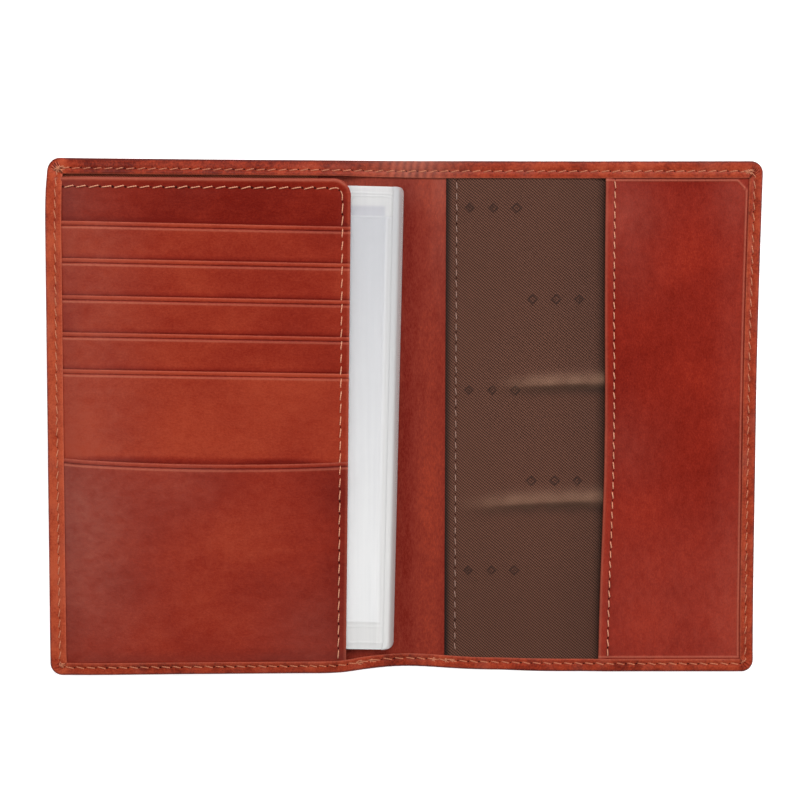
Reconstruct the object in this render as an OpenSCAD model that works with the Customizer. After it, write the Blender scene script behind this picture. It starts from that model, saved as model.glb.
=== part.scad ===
// Travel document organizer: a leather wallet that folds at its spine, shown open and flat.
// X runs from the left fore edge to the right one, Y up the page, Z up out of the inside.
// The origin is on the underside, midway along and across the open wallet.
// The outer hide bends at two lines beside the spine, so it is made in three lengths.
// Its edge is turned over all round: the turned part is modelled as strips on top of the layers.

/* [Covers] */
// Width of the open wallet, fore edge to fore edge
open_w = 228; // [224:1:234]
// Height of the covers
cover_h = 165; // [163:1:170]
// Radius of the covers' corners
corner_r = 4; // [3:0.5:5]
// Width of the spine between the two fold lines
spine_w = 3; // [3:0.5:4]
// How far the bottom edge draws in at the spine
bottom_pinch = 2; // [0:0.5:3]
// How far the top edge draws in at the spine
top_pinch = 0.6; // [0:0.2:1]

/* [Materials] */
// Thickness of the outer leather
outer_t = 1; // [0.8:0.1:1.2]
// Thickness of the skived leather inside
inner_t = 0.5; // [0.4:0.05:0.5]
// Thickness of the board in each cover
board_t = 0.4; // [0.4:0.1:0.6]
// Thickness of the lining fabric
fabric_t = 0.15; // [0.1:0.05:0.2]

/* [Turned edge] */
// Width of the turned edge at the sides
hem_side = 4.3; // [4:0.1:5]
// Width of the turned edge along the top
hem_top = 5.9; // [5.5:0.1:6.2]
// Width of the turned edge along the bottom
hem_bottom = 4.3; // [4:0.1:5]

/* [Card panel] */
// Distance from the spine's middle to the panel's free side
panel_side = 17.4; // [16:0.2:19]
// Distance from the covers' middle to the panel's free top edge
panel_top = 76; // [75:0.2:76.4]
// Distance from the covers' middle to the top slot's edge
slot_first = 61.9; // [61:0.1:62]
// Distance from one card slot to the next
slot_pitch = 11.65; // [11:0.05:12]
// Distance from the last card slot down to the big pocket's edge
pocket_drop = 28; // [26:1:31]
// How much the slots lean, in degrees
slot_lean = 0.9; // [0:0.1:1.2]
// How deep a card goes into its slot
card_depth = 50; // [46:1:52]

/* [Clear insert] */
// Width of the clear insert
insert_w = 96; // [88:1:98]
// Height of the clear insert
insert_h = 148; // [140:1:149]
// How much the insert leans, in degrees
insert_lean = 1.2; // [0:0.1:1.4]
// Thickness of one leaf, with its card
leaf_t = 0.48; // [0.4:0.02:0.5]

/* [Right side] */
// Distance from the spine's middle to the fabric lining
lining_x = 13.5; // [12:0.5:16]
// Distance from the spine's middle to the flap's free edge
flap_x = 64.4; // [60:0.2:68]

/* [Stitching] */
// Distance from one stitch to the next round the edge
stitch_pitch = 3.4; // [3:0.1:4]
// Distance from one stitch to the next round the card panel
panel_stitch_pitch = 3.9; // [3.4:0.1:4]

/* [Hidden] */

// Places across the covers
half_w = open_w / 2;
half_h = cover_h / 2;
fold_gap = 0.1;
spine_x = spine_w / 2;
cover_x = spine_x + fold_gap;
pinch_w = 28;
board_x = 28;
side_low = -half_h + hem_bottom + bottom_pinch;
side_high = half_h - hem_top - top_pinch;
panel_mid = -(half_w + panel_side) / 2;
panel_corner = 3.5;
flap_foot_x = flap_x - 1.7;

// Heights of the layers
lining_z = outer_t + board_t;
low_lip_z = lining_z + fabric_t;
slide_gap = 0.3;
insert_z = low_lip_z + inner_t + slide_gap;
insert_t = 3 * leaf_t;
panel_z = insert_z + insert_t + 0.8 * slide_gap;
tail_t = 0.08;
strip_rise = 1.35;
strip_t = inner_t;
panel_lip_z = panel_z + strip_rise + strip_t;
foot_lip_z = panel_z + 0.8;
flap_t = 0.6;
flap_lip_z = low_lip_z + fabric_t + flap_t;

// Card panel, measured up from the panel's underside
slots = 5;
slot_y = [for (i = [0 : slots - 1]) slot_first - i * slot_pitch];
pocket_y = slot_y[slots - 1] - pocket_drop;
strip_tuck = 6;
strip_slope = strip_t / slot_pitch;
last_slope = 0.02;
pocket_sag = 1.5;
pocket_foot = 0.2;
pocket_slope = (strip_rise - pocket_foot) / (pocket_y + half_h);
band_foot = 0.5;
band_head = fabric_t + 0.05;
band_low_y = slot_first - strip_tuck;
band_slope = (band_foot - band_head) / (panel_top - band_low_y);

// Clear insert
insert_x = -spine_x + 0.7;
insert_y = 73.6;
film_t = 0.1;
weld_w = 2;
mouth_drop = 9.5;
card_side = 5;
card_foot = 9;
leaf_corner = 2.5;
binding_w = 1;

// Thread
thread_w = 0.55;
thread_h = 0.2;
stitch_slant = 8;

LEATHER = [0.62, 0.22, 0.13];
DARK_LEATHER = [0.52, 0.16, 0.1];
FABRIC = [0.35, 0.24, 0.19];
BOARD = [0.72, 0.66, 0.55];
THREAD = [0.85, 0.5, 0.32];
VINYL = [0.86, 0.88, 0.9, 0.6];
PAPER = [0.95, 0.95, 0.93];

// ---- outlines ----

// How strongly the edge draws in at x: 1 at the spine, 0 past pinch_w
function pinch(x) = (1 + cos(180 * min(1, abs(x) / pinch_w))) / 2;
function top_y(x, inset) = half_h - top_pinch * pinch(x) - inset;
function foot_y(x, inset) = -half_h + bottom_pinch * pinch(x) + inset;

stations = concat([-half_w], [for (i = [-6 : 6]) i * pinch_w / 6], [half_w]);
last_station = len(stations) - 1;

module pinched(top_inset, foot_inset) {
  polygon(concat(
    [for (x = stations) [x, top_y(x, top_inset)]],
    [for (i = [last_station : -1 : 0]) [stations[i], foot_y(stations[i], foot_inset)]]
  ));
}

module rounded(w, h, r) {
  square([w - 2 * r, h], center = true);
  square([w, h - 2 * r], center = true);
  for (sx = [-1, 1], sy = [-1, 1])
    translate([sx * (w / 2 - r), sy * (h / 2 - r)]) circle(r, $fn = 32);
}

// The open wallet's outline, drawn in by inset all round
module outline(inset) {
  intersection() {
    rounded(open_w - 2 * inset, cover_h - 2 * inset, corner_r - inset);
    pinched(inset, inset);
  }
}

module between(x0, x1, y0 = -half_h, y1 = half_h) {
  translate([x0, y0]) square([x1 - x0, y1 - y0]);
}

// What shows inside the turned edge
module window() {
  intersection() {
    pinched(hem_top, hem_bottom);
    between(-half_w + hem_side, half_w - hem_side);
  }
}

module layer(z, t) {
  translate([0, 0, z]) linear_extrude(t) children();
}

// A layer held inside the turned edge, from x0 to x1
module inside(z, t, x0, x1) {
  layer(z, t) intersection() {
    outline(outer_t);
    between(x0, x1);
  }
}

// ---- the outer hide ----

module hide(x0, x1) {
  color(LEATHER) layer(0, outer_t) intersection() {
    outline(0);
    between(x0, x1);
  }
}

// A length of turned edge: a wall up the layers' ends, and a lip lying on them at lip_z
module turned(x0, x1, y0, y1, lip_z) {
  layer(outer_t, lip_z - outer_t) intersection() {
    difference() {
      outline(0);
      outline(outer_t);
    }
    between(x0, x1, y0, y1);
  }
  layer(lip_z, inner_t) intersection() {
    difference() {
      outline(0);
      window();
    }
    between(x0, x1, y0, y1);
  }
}

module outer_leather_spine() hide(-spine_x, spine_x);
module outer_leather_left() hide(-half_w, -cover_x);
module outer_leather_right() hide(cover_x, half_w);

module turned_edge_spine() {
  color(LEATHER) {
    turned(-spine_x, spine_x, side_high, half_h, low_lip_z);
    turned(-spine_x, spine_x, -half_h, side_low, low_lip_z);
  }
}

module turned_edge_left_side() {
  color(LEATHER) turned(-half_w, -half_w + hem_side, side_low, side_high, panel_lip_z);
}

module turned_edge_left_top() {
  color(LEATHER) turned(-half_w, -cover_x, side_high, half_h, low_lip_z);
}

module turned_edge_left_bottom() {
  color(LEATHER) {
    turned(-half_w, -panel_side, -half_h, side_low, foot_lip_z);
    turned(-panel_side, -cover_x, -half_h, side_low, low_lip_z);
  }
}

module turned_edge_right_side() {
  color(LEATHER) turned(half_w - hem_side, half_w, side_low, side_high, flap_lip_z);
}

module turned_edge_right_top() {
  color(LEATHER) {
    turned(cover_x, flap_foot_x, side_high, half_h, low_lip_z);
    turned(flap_foot_x, half_w, side_high, half_h, flap_lip_z);
  }
}

module turned_edge_right_bottom() {
  color(LEATHER) {
    turned(cover_x, flap_foot_x, -half_h, side_low, low_lip_z);
    turned(flap_foot_x, half_w, -half_h, side_low, flap_lip_z);
  }
}

// ---- boards, linings and the centre leather ----

module stiffener_left() color(BOARD) inside(outer_t, board_t, -half_w, -board_x);
module stiffener_right() color(BOARD) inside(outer_t, board_t, lining_x, half_w);
module lining_left() color(FABRIC) inside(lining_z, fabric_t, -half_w, -board_x);
module lining_right() color(FABRIC) inside(lining_z, fabric_t, lining_x, half_w);
module inner_leather_left() color(DARK_LEATHER) inside(outer_t, inner_t, -board_x, -cover_x);
module inner_leather_spine() color(DARK_LEATHER) inside(outer_t, inner_t, -spine_x, spine_x);
module inner_leather_right() color(DARK_LEATHER) inside(outer_t, inner_t, cover_x, lining_x);

// ---- card panel ----

// The panel's plan: sewn down at the left and the foot, free at the top and the right
module panel_area() {
  intersection() {
    outline(outer_t);
    union() {
      between(-half_w, -panel_side, -half_h, panel_top - panel_corner);
      between(-half_w, -panel_side - panel_corner, -half_h, panel_top);
      translate([-panel_side - panel_corner, panel_top - panel_corner])
        circle(panel_corner, $fn = 32);
    }
  }
}

// A leather strip that leans down from its edge at y_high to tuck under the next one
module strip(y_low, y_high, rise_low, rise_high) {
  intersection() {
    layer(panel_z, strip_rise + strip_t + 1) panel_area();
    translate([panel_mid, 0, panel_z])
      rotate([0, 0, -slot_lean])
        translate([-half_w / 2, 0, 0])
          rotate([90, 0, 90])
            linear_extrude(half_w)
              polygon([
                [y_low, rise_low],
                [y_high, rise_high],
                [y_high, rise_high + strip_t],
                [y_low, rise_low + strip_t],
              ]);
  }
}

module card_panel_backing() color(FABRIC) layer(panel_z, fabric_t) panel_area();

module card_panel_top_band() {
  past_top = panel_top + 4;
  color(LEATHER)
    strip(band_low_y, past_top, band_foot, band_foot - band_slope * (past_top - band_low_y));
}

module card_pocket(i) {
  slope = i == slots - 1 ? last_slope : strip_slope;
  y_low = (i == slots - 1 ? pocket_y : slot_y[i + 1]) - strip_tuck;
  color(LEATHER) strip(y_low, slot_y[i], strip_rise - slope * (slot_y[i] - y_low), strip_rise);
}

// The fabric that carries each strip down to the foot of its slot
module pocket_lining(i) {
  color(FABRIC) layer(panel_z + fabric_t + i * tail_t, tail_t) intersection() {
    panel_area();
    between(
      -half_w, -panel_side - 2 * outer_t, slot_y[i] - card_depth, slot_y[i] - 1.4 * slot_pitch
    );
  }
}

module card_pocket_1() card_pocket(0);
module card_pocket_2() card_pocket(1);
module card_pocket_3() card_pocket(2);
module card_pocket_4() card_pocket(3);
module card_pocket_5() card_pocket(4);
module pocket_lining_1() pocket_lining(0);
module pocket_lining_2() pocket_lining(1);
module pocket_lining_3() pocket_lining(2);
module pocket_lining_4() pocket_lining(3);
module pocket_lining_5() pocket_lining(4);

// The big pocket's edge sags in the middle, so an arc through its ends cuts it
module bottom_pocket() {
  half_panel = (half_w - panel_side) / 2;
  arc_r = (half_panel * half_panel + pocket_sag * pocket_sag) / (2 * pocket_sag);
  past_foot = -half_h - 4;
  color(LEATHER) difference() {
    strip(past_foot, pocket_y, strip_rise - pocket_slope * (pocket_y - past_foot), strip_rise);
    translate([panel_mid, pocket_y - pocket_sag + arc_r, 0])
      cylinder(h = 3 * panel_z, r = arc_r, $fn = 180);
  }
}

// ---- clear insert ----

// The insert's own axes: its top right corner is their origin, and it fills -x and -y
module insert_frame() {
  translate([insert_x, insert_y, insert_z]) rotate([0, 0, -insert_lean]) children();
}

module leaf_plan(inset) {
  w = insert_w - binding_w - 2 * inset;
  h = insert_h - 2 * inset;
  translate([-binding_w - inset - w / 2, -insert_h / 2]) rounded(w, h, leaf_corner - inset);
}

// Two films welded at the back and the foot; the front one stops short, as the pocket's mouth
module insert_leaf(i) {
  color(VINYL) insert_frame() translate([0, 0, i * leaf_t]) {
    linear_extrude(film_t) leaf_plan(0);
    translate([0, 0, film_t]) linear_extrude(leaf_t - film_t) intersection() {
      leaf_plan(0);
      difference() {
        translate([-insert_w, -insert_h]) square([insert_w, insert_h - mouth_drop]);
        leaf_plan(weld_w);
      }
    }
    translate([0, 0, leaf_t - film_t]) linear_extrude(film_t) intersection() {
      leaf_plan(0);
      translate([-insert_w, -insert_h]) square([insert_w, insert_h - mouth_drop]);
    }
  }
}

module insert_card(i) {
  color(PAPER) insert_frame() translate([0, 0, i * leaf_t + film_t])
    linear_extrude(leaf_t - 2 * film_t)
      translate([-insert_w + card_side, -insert_h + card_foot])
        square([insert_w - 2 * card_side, insert_h - mouth_drop - card_foot]);
}

// The folded strip that the leaves are welded into
module insert_binding() {
  color(VINYL) insert_frame()
    translate([0, 0, insert_t / 2]) rotate([90, 0, 0]) linear_extrude(insert_h)
      intersection() {
        translate([-binding_w, -insert_t / 2]) square([binding_w, insert_t]);
        translate([-binding_w, 0]) circle(binding_w, $fn = 48);
      }
}

module insert_leaf_1() insert_leaf(0);
module insert_leaf_2() insert_leaf(1);
module insert_leaf_3() insert_leaf(2);
module insert_card_1() insert_card(0);
module insert_card_2() insert_card(1);
module insert_card_3() insert_card(2);

// ---- right flap ----

// The flap is sewn down on three sides and free along its left edge
module flap_area() {
  intersection() {
    outline(outer_t);
    polygon([
      [flap_x, half_h], [half_w, half_h], [half_w, -half_h],
      [flap_foot_x, -half_h], [flap_x + 0.2, 0],
    ]);
  }
}

module flap_lining() color(FABRIC) layer(low_lip_z, fabric_t) flap_area();
module flap() color(LEATHER) layer(low_lip_z + fabric_t, flap_t) flap_area();

// ---- stitching ----

module stitch(x, y, z, angle, pitch) {
  translate([x, y, z]) rotate([0, 0, angle + stitch_slant])
    translate([-0.35 * pitch, -thread_w / 2, 0]) cube([0.7 * pitch, thread_w, thread_h]);
}

// Distance of each row of stitches from the edge
top_row = 3.3;
foot_row = 2.7;
side_row = 2.4;
row_end = 5;

// How high the strips' undersides are at y, where every strip is highest at its own edge
function strip_above(y, i) =
  i == slots - 1
    ? strip_rise - last_slope * (slot_y[i] - y)
    : y > slot_y[i + 1] ? strip_rise - strip_slope * (slot_y[i] - y) : strip_above(y, i + 1);
function rise_at(y) =
  y > slot_y[0] ? band_foot
    : y < pocket_y ? strip_rise - pocket_slope * (pocket_y - y)
    : strip_above(y, 0);
function crosses_edge(y_low, y_high) =
  len([for (edge = concat(slot_y, [pocket_y])) if (edge > y_low && edge < y_high) edge]) > 0;

// Height of the panel's leather under a stitch at x, y that reaches reach up and down
function panel_height(x, y, reach) =
  let (level = y + tan(slot_lean) * (x - panel_mid))
    panel_z + strip_t
      + (crosses_edge(level - reach - 0.2, level + reach + 0.2)
        ? strip_rise
        : max(rise_at(level - reach), rise_at(level + reach)));

module row_across(x0, x1, level, z, foot = false) {
  for (x = [x0 : stitch_pitch : x1])
    stitch(x, foot ? foot_y(x, level) : top_y(x, level), z, 0, stitch_pitch);
}

module row_up(x, y0, y1, z) {
  for (y = [y0 : stitch_pitch : y1]) stitch(x, y, z, 90, stitch_pitch);
}

module spine_stitching() {
  low_z = low_lip_z + inner_t;
  color(THREAD) {
    stitch(0, top_y(0, top_row), low_z, 0, stitch_pitch);
    stitch(0, foot_y(0, foot_row), low_z, 0, stitch_pitch);
  }
}

module hem_stitching_left() {
  low_z = low_lip_z + inner_t;
  foot_z = foot_lip_z + inner_t;
  color(THREAD) {
    row_across(-half_w + row_end, -cover_x - 1.5, top_row, low_z);
    row_across(-half_w + row_end, -panel_side - 1.5, foot_row, foot_z, true);
    row_across(-panel_side + 2, -cover_x - 1.5, foot_row, low_z, true);
    row_up(-half_w + side_row, side_low + 1.5, side_high - 1.5, panel_lip_z + inner_t);
  }
}

module hem_stitching_right() {
  low_z = low_lip_z + inner_t;
  flap_z = flap_lip_z + inner_t;
  color(THREAD) {
    for (foot = [false, true]) {
      level = foot ? foot_row : top_row;
      row_across(cover_x + 1.5, flap_foot_x - 1.5, level, low_z, foot);
      row_across(flap_foot_x + 2, half_w - row_end, level, flap_z, foot);
    }
    row_up(half_w - side_row, side_low + 1.5, side_high - 1.5, flap_z);
  }
}

module card_panel_stitching() {
  seam = 2.2;
  row_y = panel_top - seam;
  row_x = -panel_side - seam;
  color(THREAD) {
    for (x = [row_x - 3 : -panel_stitch_pitch : -half_w + hem_side + 2])
      stitch(x, row_y, panel_height(x, row_y, thread_w), 0, panel_stitch_pitch);
    for (y = [row_y - 3 : -panel_stitch_pitch : side_low])
      stitch(row_x, y, panel_height(row_x, y, 0.4 * panel_stitch_pitch), 90, panel_stitch_pitch);
  }
}

module lining_stitching() {
  color(THREAD) row_up(lining_x + 2.5, side_low + 1.5, side_high - 1.5, low_lip_z);
}

module flap_stitching() {
  color(THREAD)
    row_up(flap_x + 3, side_low + 1.5, side_high - 1.5, low_lip_z + fabric_t + flap_t);
}

outer_leather_spine();
inner_leather_spine();
turned_edge_spine();
spine_stitching();
outer_leather_left();
stiffener_left();
lining_left();
inner_leather_left();
turned_edge_left_side();
turned_edge_left_top();
turned_edge_left_bottom();
hem_stitching_left();
card_panel_backing();
card_panel_top_band();
card_pocket_1();
card_pocket_2();
card_pocket_3();
card_pocket_4();
card_pocket_5();
pocket_lining_1();
pocket_lining_2();
pocket_lining_3();
pocket_lining_4();
pocket_lining_5();
bottom_pocket();
card_panel_stitching();
insert_binding();
insert_leaf_1();
insert_leaf_2();
insert_leaf_3();
insert_card_1();
insert_card_2();
insert_card_3();
outer_leather_right();
stiffener_right();
lining_right();
inner_leather_right();
lining_stitching();
flap();
flap_lining();
flap_stitching();
turned_edge_right_side();
turned_edge_right_top();
turned_edge_right_bottom();
hem_stitching_right();
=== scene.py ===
"""The looks of a travel document organizer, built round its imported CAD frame.

Shapes are worked out in millimetres in the frame's own axes (X across the open wallet, Y up
the page, Z up out of the inside), and scaled to metres when a mesh is made.
"""

import math

import bmesh
import bpy
import numpy as np
from mathutils import Matrix, Vector


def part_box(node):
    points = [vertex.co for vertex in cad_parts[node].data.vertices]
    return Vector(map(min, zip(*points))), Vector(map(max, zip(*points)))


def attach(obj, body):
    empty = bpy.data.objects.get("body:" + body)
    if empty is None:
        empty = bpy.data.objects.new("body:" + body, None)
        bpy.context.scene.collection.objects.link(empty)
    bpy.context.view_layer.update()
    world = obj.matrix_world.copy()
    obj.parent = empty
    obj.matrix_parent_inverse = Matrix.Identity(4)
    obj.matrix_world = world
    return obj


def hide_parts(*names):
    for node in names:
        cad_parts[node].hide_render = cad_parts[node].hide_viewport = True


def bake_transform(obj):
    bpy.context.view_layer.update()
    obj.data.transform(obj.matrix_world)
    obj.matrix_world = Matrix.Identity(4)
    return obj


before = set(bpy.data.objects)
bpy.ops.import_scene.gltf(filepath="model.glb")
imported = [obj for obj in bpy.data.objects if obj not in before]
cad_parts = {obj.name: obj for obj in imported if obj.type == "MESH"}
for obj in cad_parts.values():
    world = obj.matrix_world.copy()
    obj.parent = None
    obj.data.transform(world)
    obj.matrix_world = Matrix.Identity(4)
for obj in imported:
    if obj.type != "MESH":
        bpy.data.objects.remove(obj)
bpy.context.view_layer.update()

MM = 0.001


def box_mm(node):
    """A CAD node's lowest and highest corner, in millimetres."""
    low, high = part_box(node)
    return np.array(low) / MM, np.array(high) / MM


# ---- sizes, from the frame ----

hide_low, hide_high = box_mm("outer_leather_left")
spine_low, spine_high = box_mm("outer_leather_spine")
HALF_W = -hide_low[0]
HALF_H = hide_high[1]
OUTER_T = hide_high[2]
CORNER_R = 4.0
RIM = 0.95
LIP_R = 0.2
HIDE_INSET = 0.95
INNER_X = HALF_W - 1.4
END_GAP = 1.6
INNER_Y = HALF_H - END_GAP
PINCH_W = 28.0
TOP_PINCH = HALF_H - spine_high[1]
FOOT_PINCH = HALF_H + spine_low[1]
HEM_SIDE = {-1: 5.5, 1: 4.6}
HEM_TOP = {-1: 5.15, 1: 5.55}
HEM_FOOT = box_mm("turned_edge_left_side")[1][0] + HALF_W

LINING_TOP = box_mm("lining_right")[1][2]
LINING_X = box_mm("lining_right")[0][0]
CENTRE_TOP = box_mm("inner_leather_left")[1][2]
CENTRE_X = box_mm("inner_leather_left")[0][0]

panel_low, panel_high = box_mm("card_panel_backing")
PANEL_X = panel_high[0]
PANEL_TOP = panel_high[1] + 0.45
PANEL_Z = panel_low[2]
PANEL_MID = -(HALF_W - PANEL_X) / 2
PANEL_R = 5.6
PANEL_FOOT = -HALF_H + 1.7
BACKING_GAP = 0.3
SLOT_LEAN = math.tan(math.radians(0.9))
SLOTS = 5
level_shift = SLOT_LEAN * (PANEL_MID - panel_low[0])
SLOT_Y = [box_mm(f"card_pocket_{i + 1}")[1][1] - level_shift for i in range(SLOTS)]
POCKET_Y = SLOT_Y[-1] - 28.0
POCKET_SAG = 1.5
STRIP_RISE = 1.85
STRIP_T = 0.5
FOLD_R = 0.28
CUT_R = 0.24
THINNEST = 0.02
FABRIC_T = 0.15
WEAVE_STEP = 0.36
FABRIC_OVERLAP = 0.9

flap_low, flap_high = box_mm("flap")
FLAP_Z = flap_high[2]
FLAP_TOP_X = 63.4
FLAP_FOOT_X = flap_low[0]

INSERT_Z = box_mm("insert_leaf_1")[0][2]
LEAF_T = box_mm("insert_leaf_2")[0][2] - INSERT_Z
LEAVES = 3
INSERT_LEAN = math.radians(1.2)
INSERT_X = box_mm("insert_binding")[1][0]
INSERT_Y = 73.6
INSERT_W = 96.0
INSERT_H = 148.0
FILM_T = 0.08
CARD_TOP = box_mm("insert_card_1")[1][2] - INSERT_Z
CARD_GAP = 0.012
BINDING_WALL = -1.4
NIP_RISE = 0.20
NIP_SHARE = 0.70
MOUTH_DROP = 9.5

THREAD_R = 0.115
EDGE_PITCH = 3.4
PANEL_PITCH = 3.9
FLAP_PITCH = 3.16
TOP_ROW = 3.3
FOOT_ROW = 2.8
SIDE_ROW = {-1: 3.4, 1: 2.8}
PANEL_SEAM = 2.7
PANEL_TOP_SEAM = 3.1
FLAP_SEAM = 3.0
LINING_SEAM = 2.5


# ---- small maths ----


def ease(t):
    t = np.clip(t, 0, 1)
    return t * t * (3 - 2 * t)


def ramp(value, start, end):
    """0 before start, 1 after end, smooth between."""
    return ease((value - start) / (end - start))


def hump(value, centre, width):
    return np.exp(-(((value - centre) / width) ** 2))


def ripple(x, y, size, seed):
    """Smooth unevenness between about -1 and 1, from a few crossing waves about size long."""
    total = 0
    for k in range(5):
        turn = 1.7 * seed + 2.4 * k
        wave = 2 * np.pi / size * (0.7 + 0.22 * k)
        total = total + np.sin(wave * (x * np.cos(turn) + y * np.sin(turn)) + 3.1 * seed + 1.9 * k)
    return 0.28 * total


def spots(x, y, places):
    """A sum of soft round spots, each (x, y, radius, amount)."""
    total = 0 * x
    for cx, cy, radius, amount in places:
        total = total + amount * np.exp(-((x - cx) ** 2 + (y - cy) ** 2) / radius**2)
    return total


def between(x, low, high, share):
    """A grid whose columns stand at x, and whose rows run from low to high by share."""
    gy = low + (high - low) * share[:, None]
    return np.broadcast_to(x, gy.shape), gy


def rounded(d, r):
    """How far a face drops at distance d in from an edge that is rounded with radius r."""
    k = np.clip(1 - d / r, 0, 1)
    return r * (1 - np.sqrt(1 - k * k))


def faces_of(z, thick, drop):
    """A sheet's upper and lower face, drawn together where its edge drops away."""
    top = z - drop
    return top, np.minimum(z - thick + drop, top - THINNEST)


EDGE_STEPS = [0, 0.05, 0.19, 0.41, 0.69, 1]


def span(a, b, step, start_r=0.0, end_r=0.0, extra=()):
    """Places from a to b about step apart, closer where an end is rounded, and at the extra ones."""
    inner = list(np.linspace(a, b, max(2, int(round((b - a) / step)) + 1)))
    marks = [a + start_r * k for k in EDGE_STEPS] if start_r else []
    marks += [b - end_r * k for k in EDGE_STEPS] if end_r else []
    keep = [v for v in inner if a + start_r < v < b - end_r or v in (a, b)]
    places = sorted(set(round(float(v), 5) for v in keep + marks + list(extra)))
    return np.array([v for v in places if a - 1e-6 <= v <= b + 1e-6])


# ---- outline ----


def pinch(x):
    return (1 + np.cos(np.pi * np.clip(np.abs(x) / PINCH_W, 0, 1))) / 2


def top_y(x):
    return HALF_H - TOP_PINCH * pinch(x)


def foot_y(x):
    return -HALF_H + FOOT_PINCH * pinch(x)


def hem_top(x):
    """The top hem is a little wider on the right cover than on the left one."""
    return HEM_TOP[-1] + (HEM_TOP[1] - HEM_TOP[-1]) * ramp(x, -20, 20)


# ---- meshes ----


class Shell:
    """A closed surface: its points in millimetres, its faces and the numbers kept at its points."""

    def __init__(self, points, faces, slot=0, **marks):
        self.points = np.asarray(points, float).reshape(-1, 3)
        self.faces = faces
        self.slot = slot
        self.marks = marks


def grid_faces(ids, flip=False):
    a, b, c, d = ids[:-1, :-1], ids[:-1, 1:], ids[1:, 1:], ids[1:, :-1]
    quads = np.stack([a, b, c, d], -1).reshape(-1, 4)
    return quads[:, ::-1] if flip else quads


def sheet_shell(x, y, top, bottom, **marks):
    """A closed sheet between two heights over one grid, whose columns run along X and rows along Y."""
    rows, cols = x.shape
    upper = np.arange(rows * cols).reshape(rows, cols)
    lower = upper + rows * cols
    rim_u = np.concatenate([upper[0], upper[1:, -1], upper[-1, -2::-1], upper[-2::-1, 0]])
    rim_l = np.concatenate([lower[0], lower[1:, -1], lower[-1, -2::-1], lower[-2::-1, 0]])
    wall = np.stack([rim_l[:-1], rim_l[1:], rim_u[1:], rim_u[:-1]], -1)
    faces = np.concatenate([grid_faces(upper), grid_faces(lower, True), wall])
    points = np.concatenate([np.stack([x, y, z], -1).reshape(-1, 3) for z in (top, bottom)])
    doubled = {k: np.tile(np.broadcast_to(v, x.shape).ravel(), 2) for k, v in marks.items()}
    return Shell(points, faces.tolist(), **doubled)


def tube_shell(rings, slot=0, **marks):
    """A closed tube through rings of points, an array of rings x sides x 3, with its ends capped."""
    count, sides = rings.shape[:2]
    ids = np.arange(count * sides).reshape(count, sides)
    looped = np.concatenate([ids, ids[:, :1]], 1)
    faces = grid_faces(looped).tolist() + [ids[0, ::-1].tolist(), ids[-1].tolist()]
    spread = {k: np.broadcast_to(v, (count, sides)).ravel() for k, v in marks.items()}
    return Shell(rings, faces, slot, **spread)


def settle(points):
    """The leather has drawn in a little: right side, panel's free edge, top, foot, left corner."""
    x, y, z = points.T
    u, v = x / HALF_W, y / HALF_H
    draw = 1.1 * np.cos(0.5 * np.pi * v) + 0.75 * ramp(-v, 0.1, 1)
    side = np.where(x > 0, -draw * u**2, 0.0)
    side = side - 0.95 * (1 - 0.9 * v) * hump(x, PANEL_X, 12)
    side = side + 0.85 * hump(x, -HALF_W, 7) * hump(y, HALF_H, 9)
    pull = np.where(y > 0, -0.42, 0.35) * (1 - u**2) * v**2
    pull = pull + np.where(y > 0, 0.9 * TOP_PINCH * pinch(x), 0.0) * v**4
    pull = pull + np.where(y < 0, 0.65 * hump(x, 26, 13) - 0.35 * hump(x, -15, 8), 0.0) * v**4
    return np.stack([x + side, y + pull, z], 1)


def make(name, shells, materials, settled=True):
    """One mesh object from closed shells. It keeps each point's rest place for the materials."""
    points = np.concatenate([s.points for s in shells])
    if settled:
        points = settle(points)
    starts = np.cumsum([0] + [len(s.points) for s in shells[:-1]])
    faces = [[i + int(n) for i in f] for s, n in zip(shells, starts) for f in s.faces]
    slots = [s.slot for s in shells for _ in s.faces]
    mesh = bpy.data.meshes.new(name)
    mesh.from_pydata((points * MM).tolist(), [], faces)
    mesh.polygons.foreach_set("material_index", slots)
    tidy = bmesh.new()
    tidy.from_mesh(mesh)
    bmesh.ops.recalc_face_normals(tidy, faces=tidy.faces)
    tidy.to_mesh(mesh)
    tidy.free()
    mesh.shade_smooth()
    mesh.set_sharp_from_angle(angle=math.radians(40))
    rest = mesh.attributes.new("rest", "FLOAT_VECTOR", "POINT")
    rest.data.foreach_set("vector", points.astype(np.float32).ravel())
    for key in sorted({k for s in shells for k in s.marks}):
        values = [np.broadcast_to(s.marks.get(key, 0.0), len(s.points)) for s in shells]
        kept = mesh.attributes.new(key, "FLOAT", "POINT")
        kept.data.foreach_set("value", np.concatenate(values).astype(np.float32))
    piece = bpy.data.objects.new(name, mesh)
    bpy.context.scene.collection.objects.link(piece)
    for material in materials:
        mesh.materials.append(material)
    return piece


def half_of(side):
    return "left" if side < 0 else "right"


def place(name, shells, materials, body, slot, node=None, settled=True):
    """A piece that moves with one body and stands for one CAD node, of its own name by default."""
    piece = make(name, shells, materials, settled=settled)
    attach(piece, body)
    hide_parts(node or name)
    return piece


def place_bent(name, shells, materials, side, slot, *nodes):
    """A piece of one half, named after its half, with its transform baked into its points."""
    half = half_of(side)
    piece = make(f"{name}_{half}", shells, materials)
    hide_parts(*nodes)
    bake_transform(piece)


# ---- materials ----


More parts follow.
